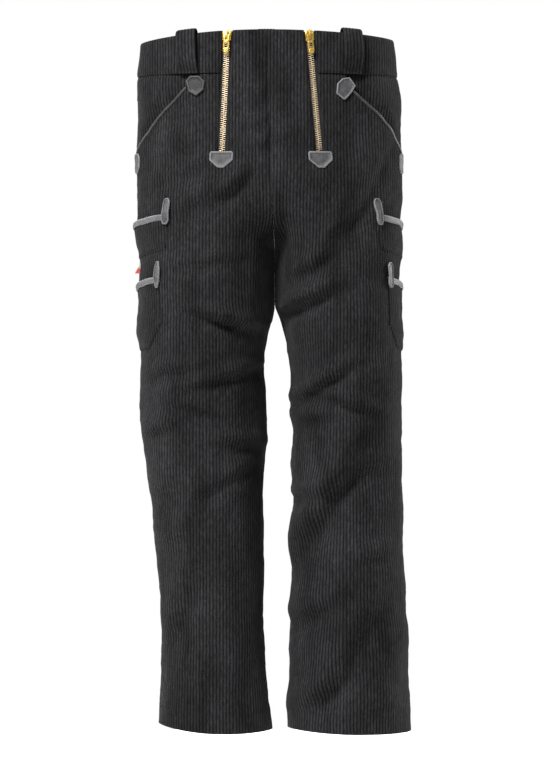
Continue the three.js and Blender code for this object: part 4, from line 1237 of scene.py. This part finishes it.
# ---------------------------------------------------------------------------------------------
# The sewing thread: black on the cloth and grey on the leather, in stitches two to three millimetres
# long. The side seams, the seat seam and the hems are topstitched as well.
for word, side in SIDES.items():
    line = np.linspace(-1040, -WAISTBAND - 6, 300)
    for u, z in ((0.5 + 0.011, line), (1.0 - 0.011, line[line > -300])):
        stitch_on("black", side, u, z, 0.45)
    for row in (-1014, -1017):
        stitch_on("black", side, np.linspace(0.002, 0.998, 200), row, 0.5)
    u = np.linspace(0.505, 0.995, 90)
    stitch_on("black", side, u, yoke_z(u) + 2.4, 0.9)


def thread_finish(name, tone):
    m, tree, shader = new_material(name, 0.7, 0.08)
    twist = noise(tree, 2600, (1, 1, 1), 2, 0.6)
    colour = ramp(tree, twist, (0.3, grey(tone * 0.6)), (0.7, grey(tone * 1.3)))
    tree.links.new(colour, shader.inputs["Base Color"])
    bump(tree, shader, twist, 0.3, 0.0002)
    return m


for kind, tone, slot in (("black", 0.005, "lining"), ("grey", 0.05, "leather")):
    ring = [(math.cos(a), math.sin(a)) for a in np.linspace(0, 2 * np.pi, 6)[:-1]]
    shape = [(-0.5, 0.35), (-0.3, 1.0), (0.3, 1.0), (0.5, 0.35)]
    verts, faces = [], []
    for mid, along, up, length, thick in threads[kind]:
        over = np.cross(up, along)
        first = len(verts)
        for t, r in shape:
            centre = mid + along * t * length - up * (abs(t) > 0.4) * 0.12
            verts += [centre + (over * c * 1.15 + up * s * 0.8) * r * thick for c, s in ring]
        for k in range(3):
            faces += [[first + k * 5 + j, first + k * 5 + (j + 1) % 5, first + (k + 1) * 5 + (j + 1) % 5,
                       first + (k + 1) * 5 + j] for j in range(5)]
        faces += [[first + j for j in (4, 3, 2, 1, 0)], [first + 15 + j for j in range(5)]]
    mesh = bpy.data.meshes.new(f"stitching_{kind}")
    mesh.from_pydata((np.array(verts) * MM).tolist(), [], faces)
    mesh.materials.append(thread_finish(f"{kind}_thread", tone))
    row = bpy.data.objects.new(f"stitching_{kind}", mesh)
    bpy.context.collection.objects.link(row)
    pick(row)
    face_outwards()
    finish_edges(row, 60)
    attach(row, "trousers")

# ---------------------------------------------------------------------------------------------
# The studio: a pale floor in a white room, with one strong soft light high in front to the left and
# three weak ones behind and at the sides, so the black cloth shows its nap and its folds.
ROOM = 0.5
bpy.context.scene.view_settings.view_transform = "Standard"
world = bpy.data.worlds.new("studio")
bpy.context.scene.world = world
world.use_nodes = True
backdrop = world.node_tree.nodes["Background"]
backdrop.inputs["Color"].default_value = (1, 1, 1, 1)
seen = node(world.node_tree, "ShaderNodeLightPath").outputs["Is Camera Ray"]
room = math_node(world.node_tree, "MULTIPLY_ADD", seen, 1 - ROOM)
room.node.inputs[2].default_value = ROOM
world.node_tree.links.new(room, backdrop.inputs["Strength"])

bpy.ops.mesh.primitive_circle_add(vertices=96, radius=2.8, fill_type="NGON", location=(0, 0, -1.3))
floor = bpy.context.object
floor.name = "studio_floor"
pale, tree, shader = new_material("pale_floor", 0.9, 0.1)
shader.inputs["Base Color"].default_value = (0.78, 0.78, 0.78, 1)
floor.data.materials.append(pale)


def soft_light(name, place, size, power, aim=(0, 0, -0.5)):
    light = bpy.data.lights.new(name, "AREA")
    light.shape, light.size, light.size_y, light.energy = "RECTANGLE", size[0], size[1], power
    o = bpy.data.objects.new(name, light)
    o.location = place
    o.rotation_euler = (Vector(aim) - Vector(place)).to_track_quat("-Z", "Y").to_euler()
    bpy.context.collection.objects.link(o)


soft_light("window_front", (-1.9, -2.7, 3.3), (1.5, 1.2), 880)
soft_light("window_left", (-2.4, 0.8, 0.3), (0.7, 1.8), 45)
soft_light("window_right", (2.4, 0.9, 0.3), (0.7, 1.8), 140)
soft_light("window_back", (-0.8, 2.7, 1.9), (1.6, 1.4), 220)

camera = bpy.data.cameras.new("camera")
eye = bpy.data.objects.new("camera", camera)
bpy.context.collection.objects.link(eye)
bpy.context.scene.camera = eye
DISTANCE = 5.5
eye.location = (0.0142, -DISTANCE, -0.535)
eye.rotation_euler = (math.pi / 2, 0, 0)
camera.sensor_fit = "VERTICAL"
camera.sensor_height = 24
camera.lens = 24 * DISTANCE / 1.175
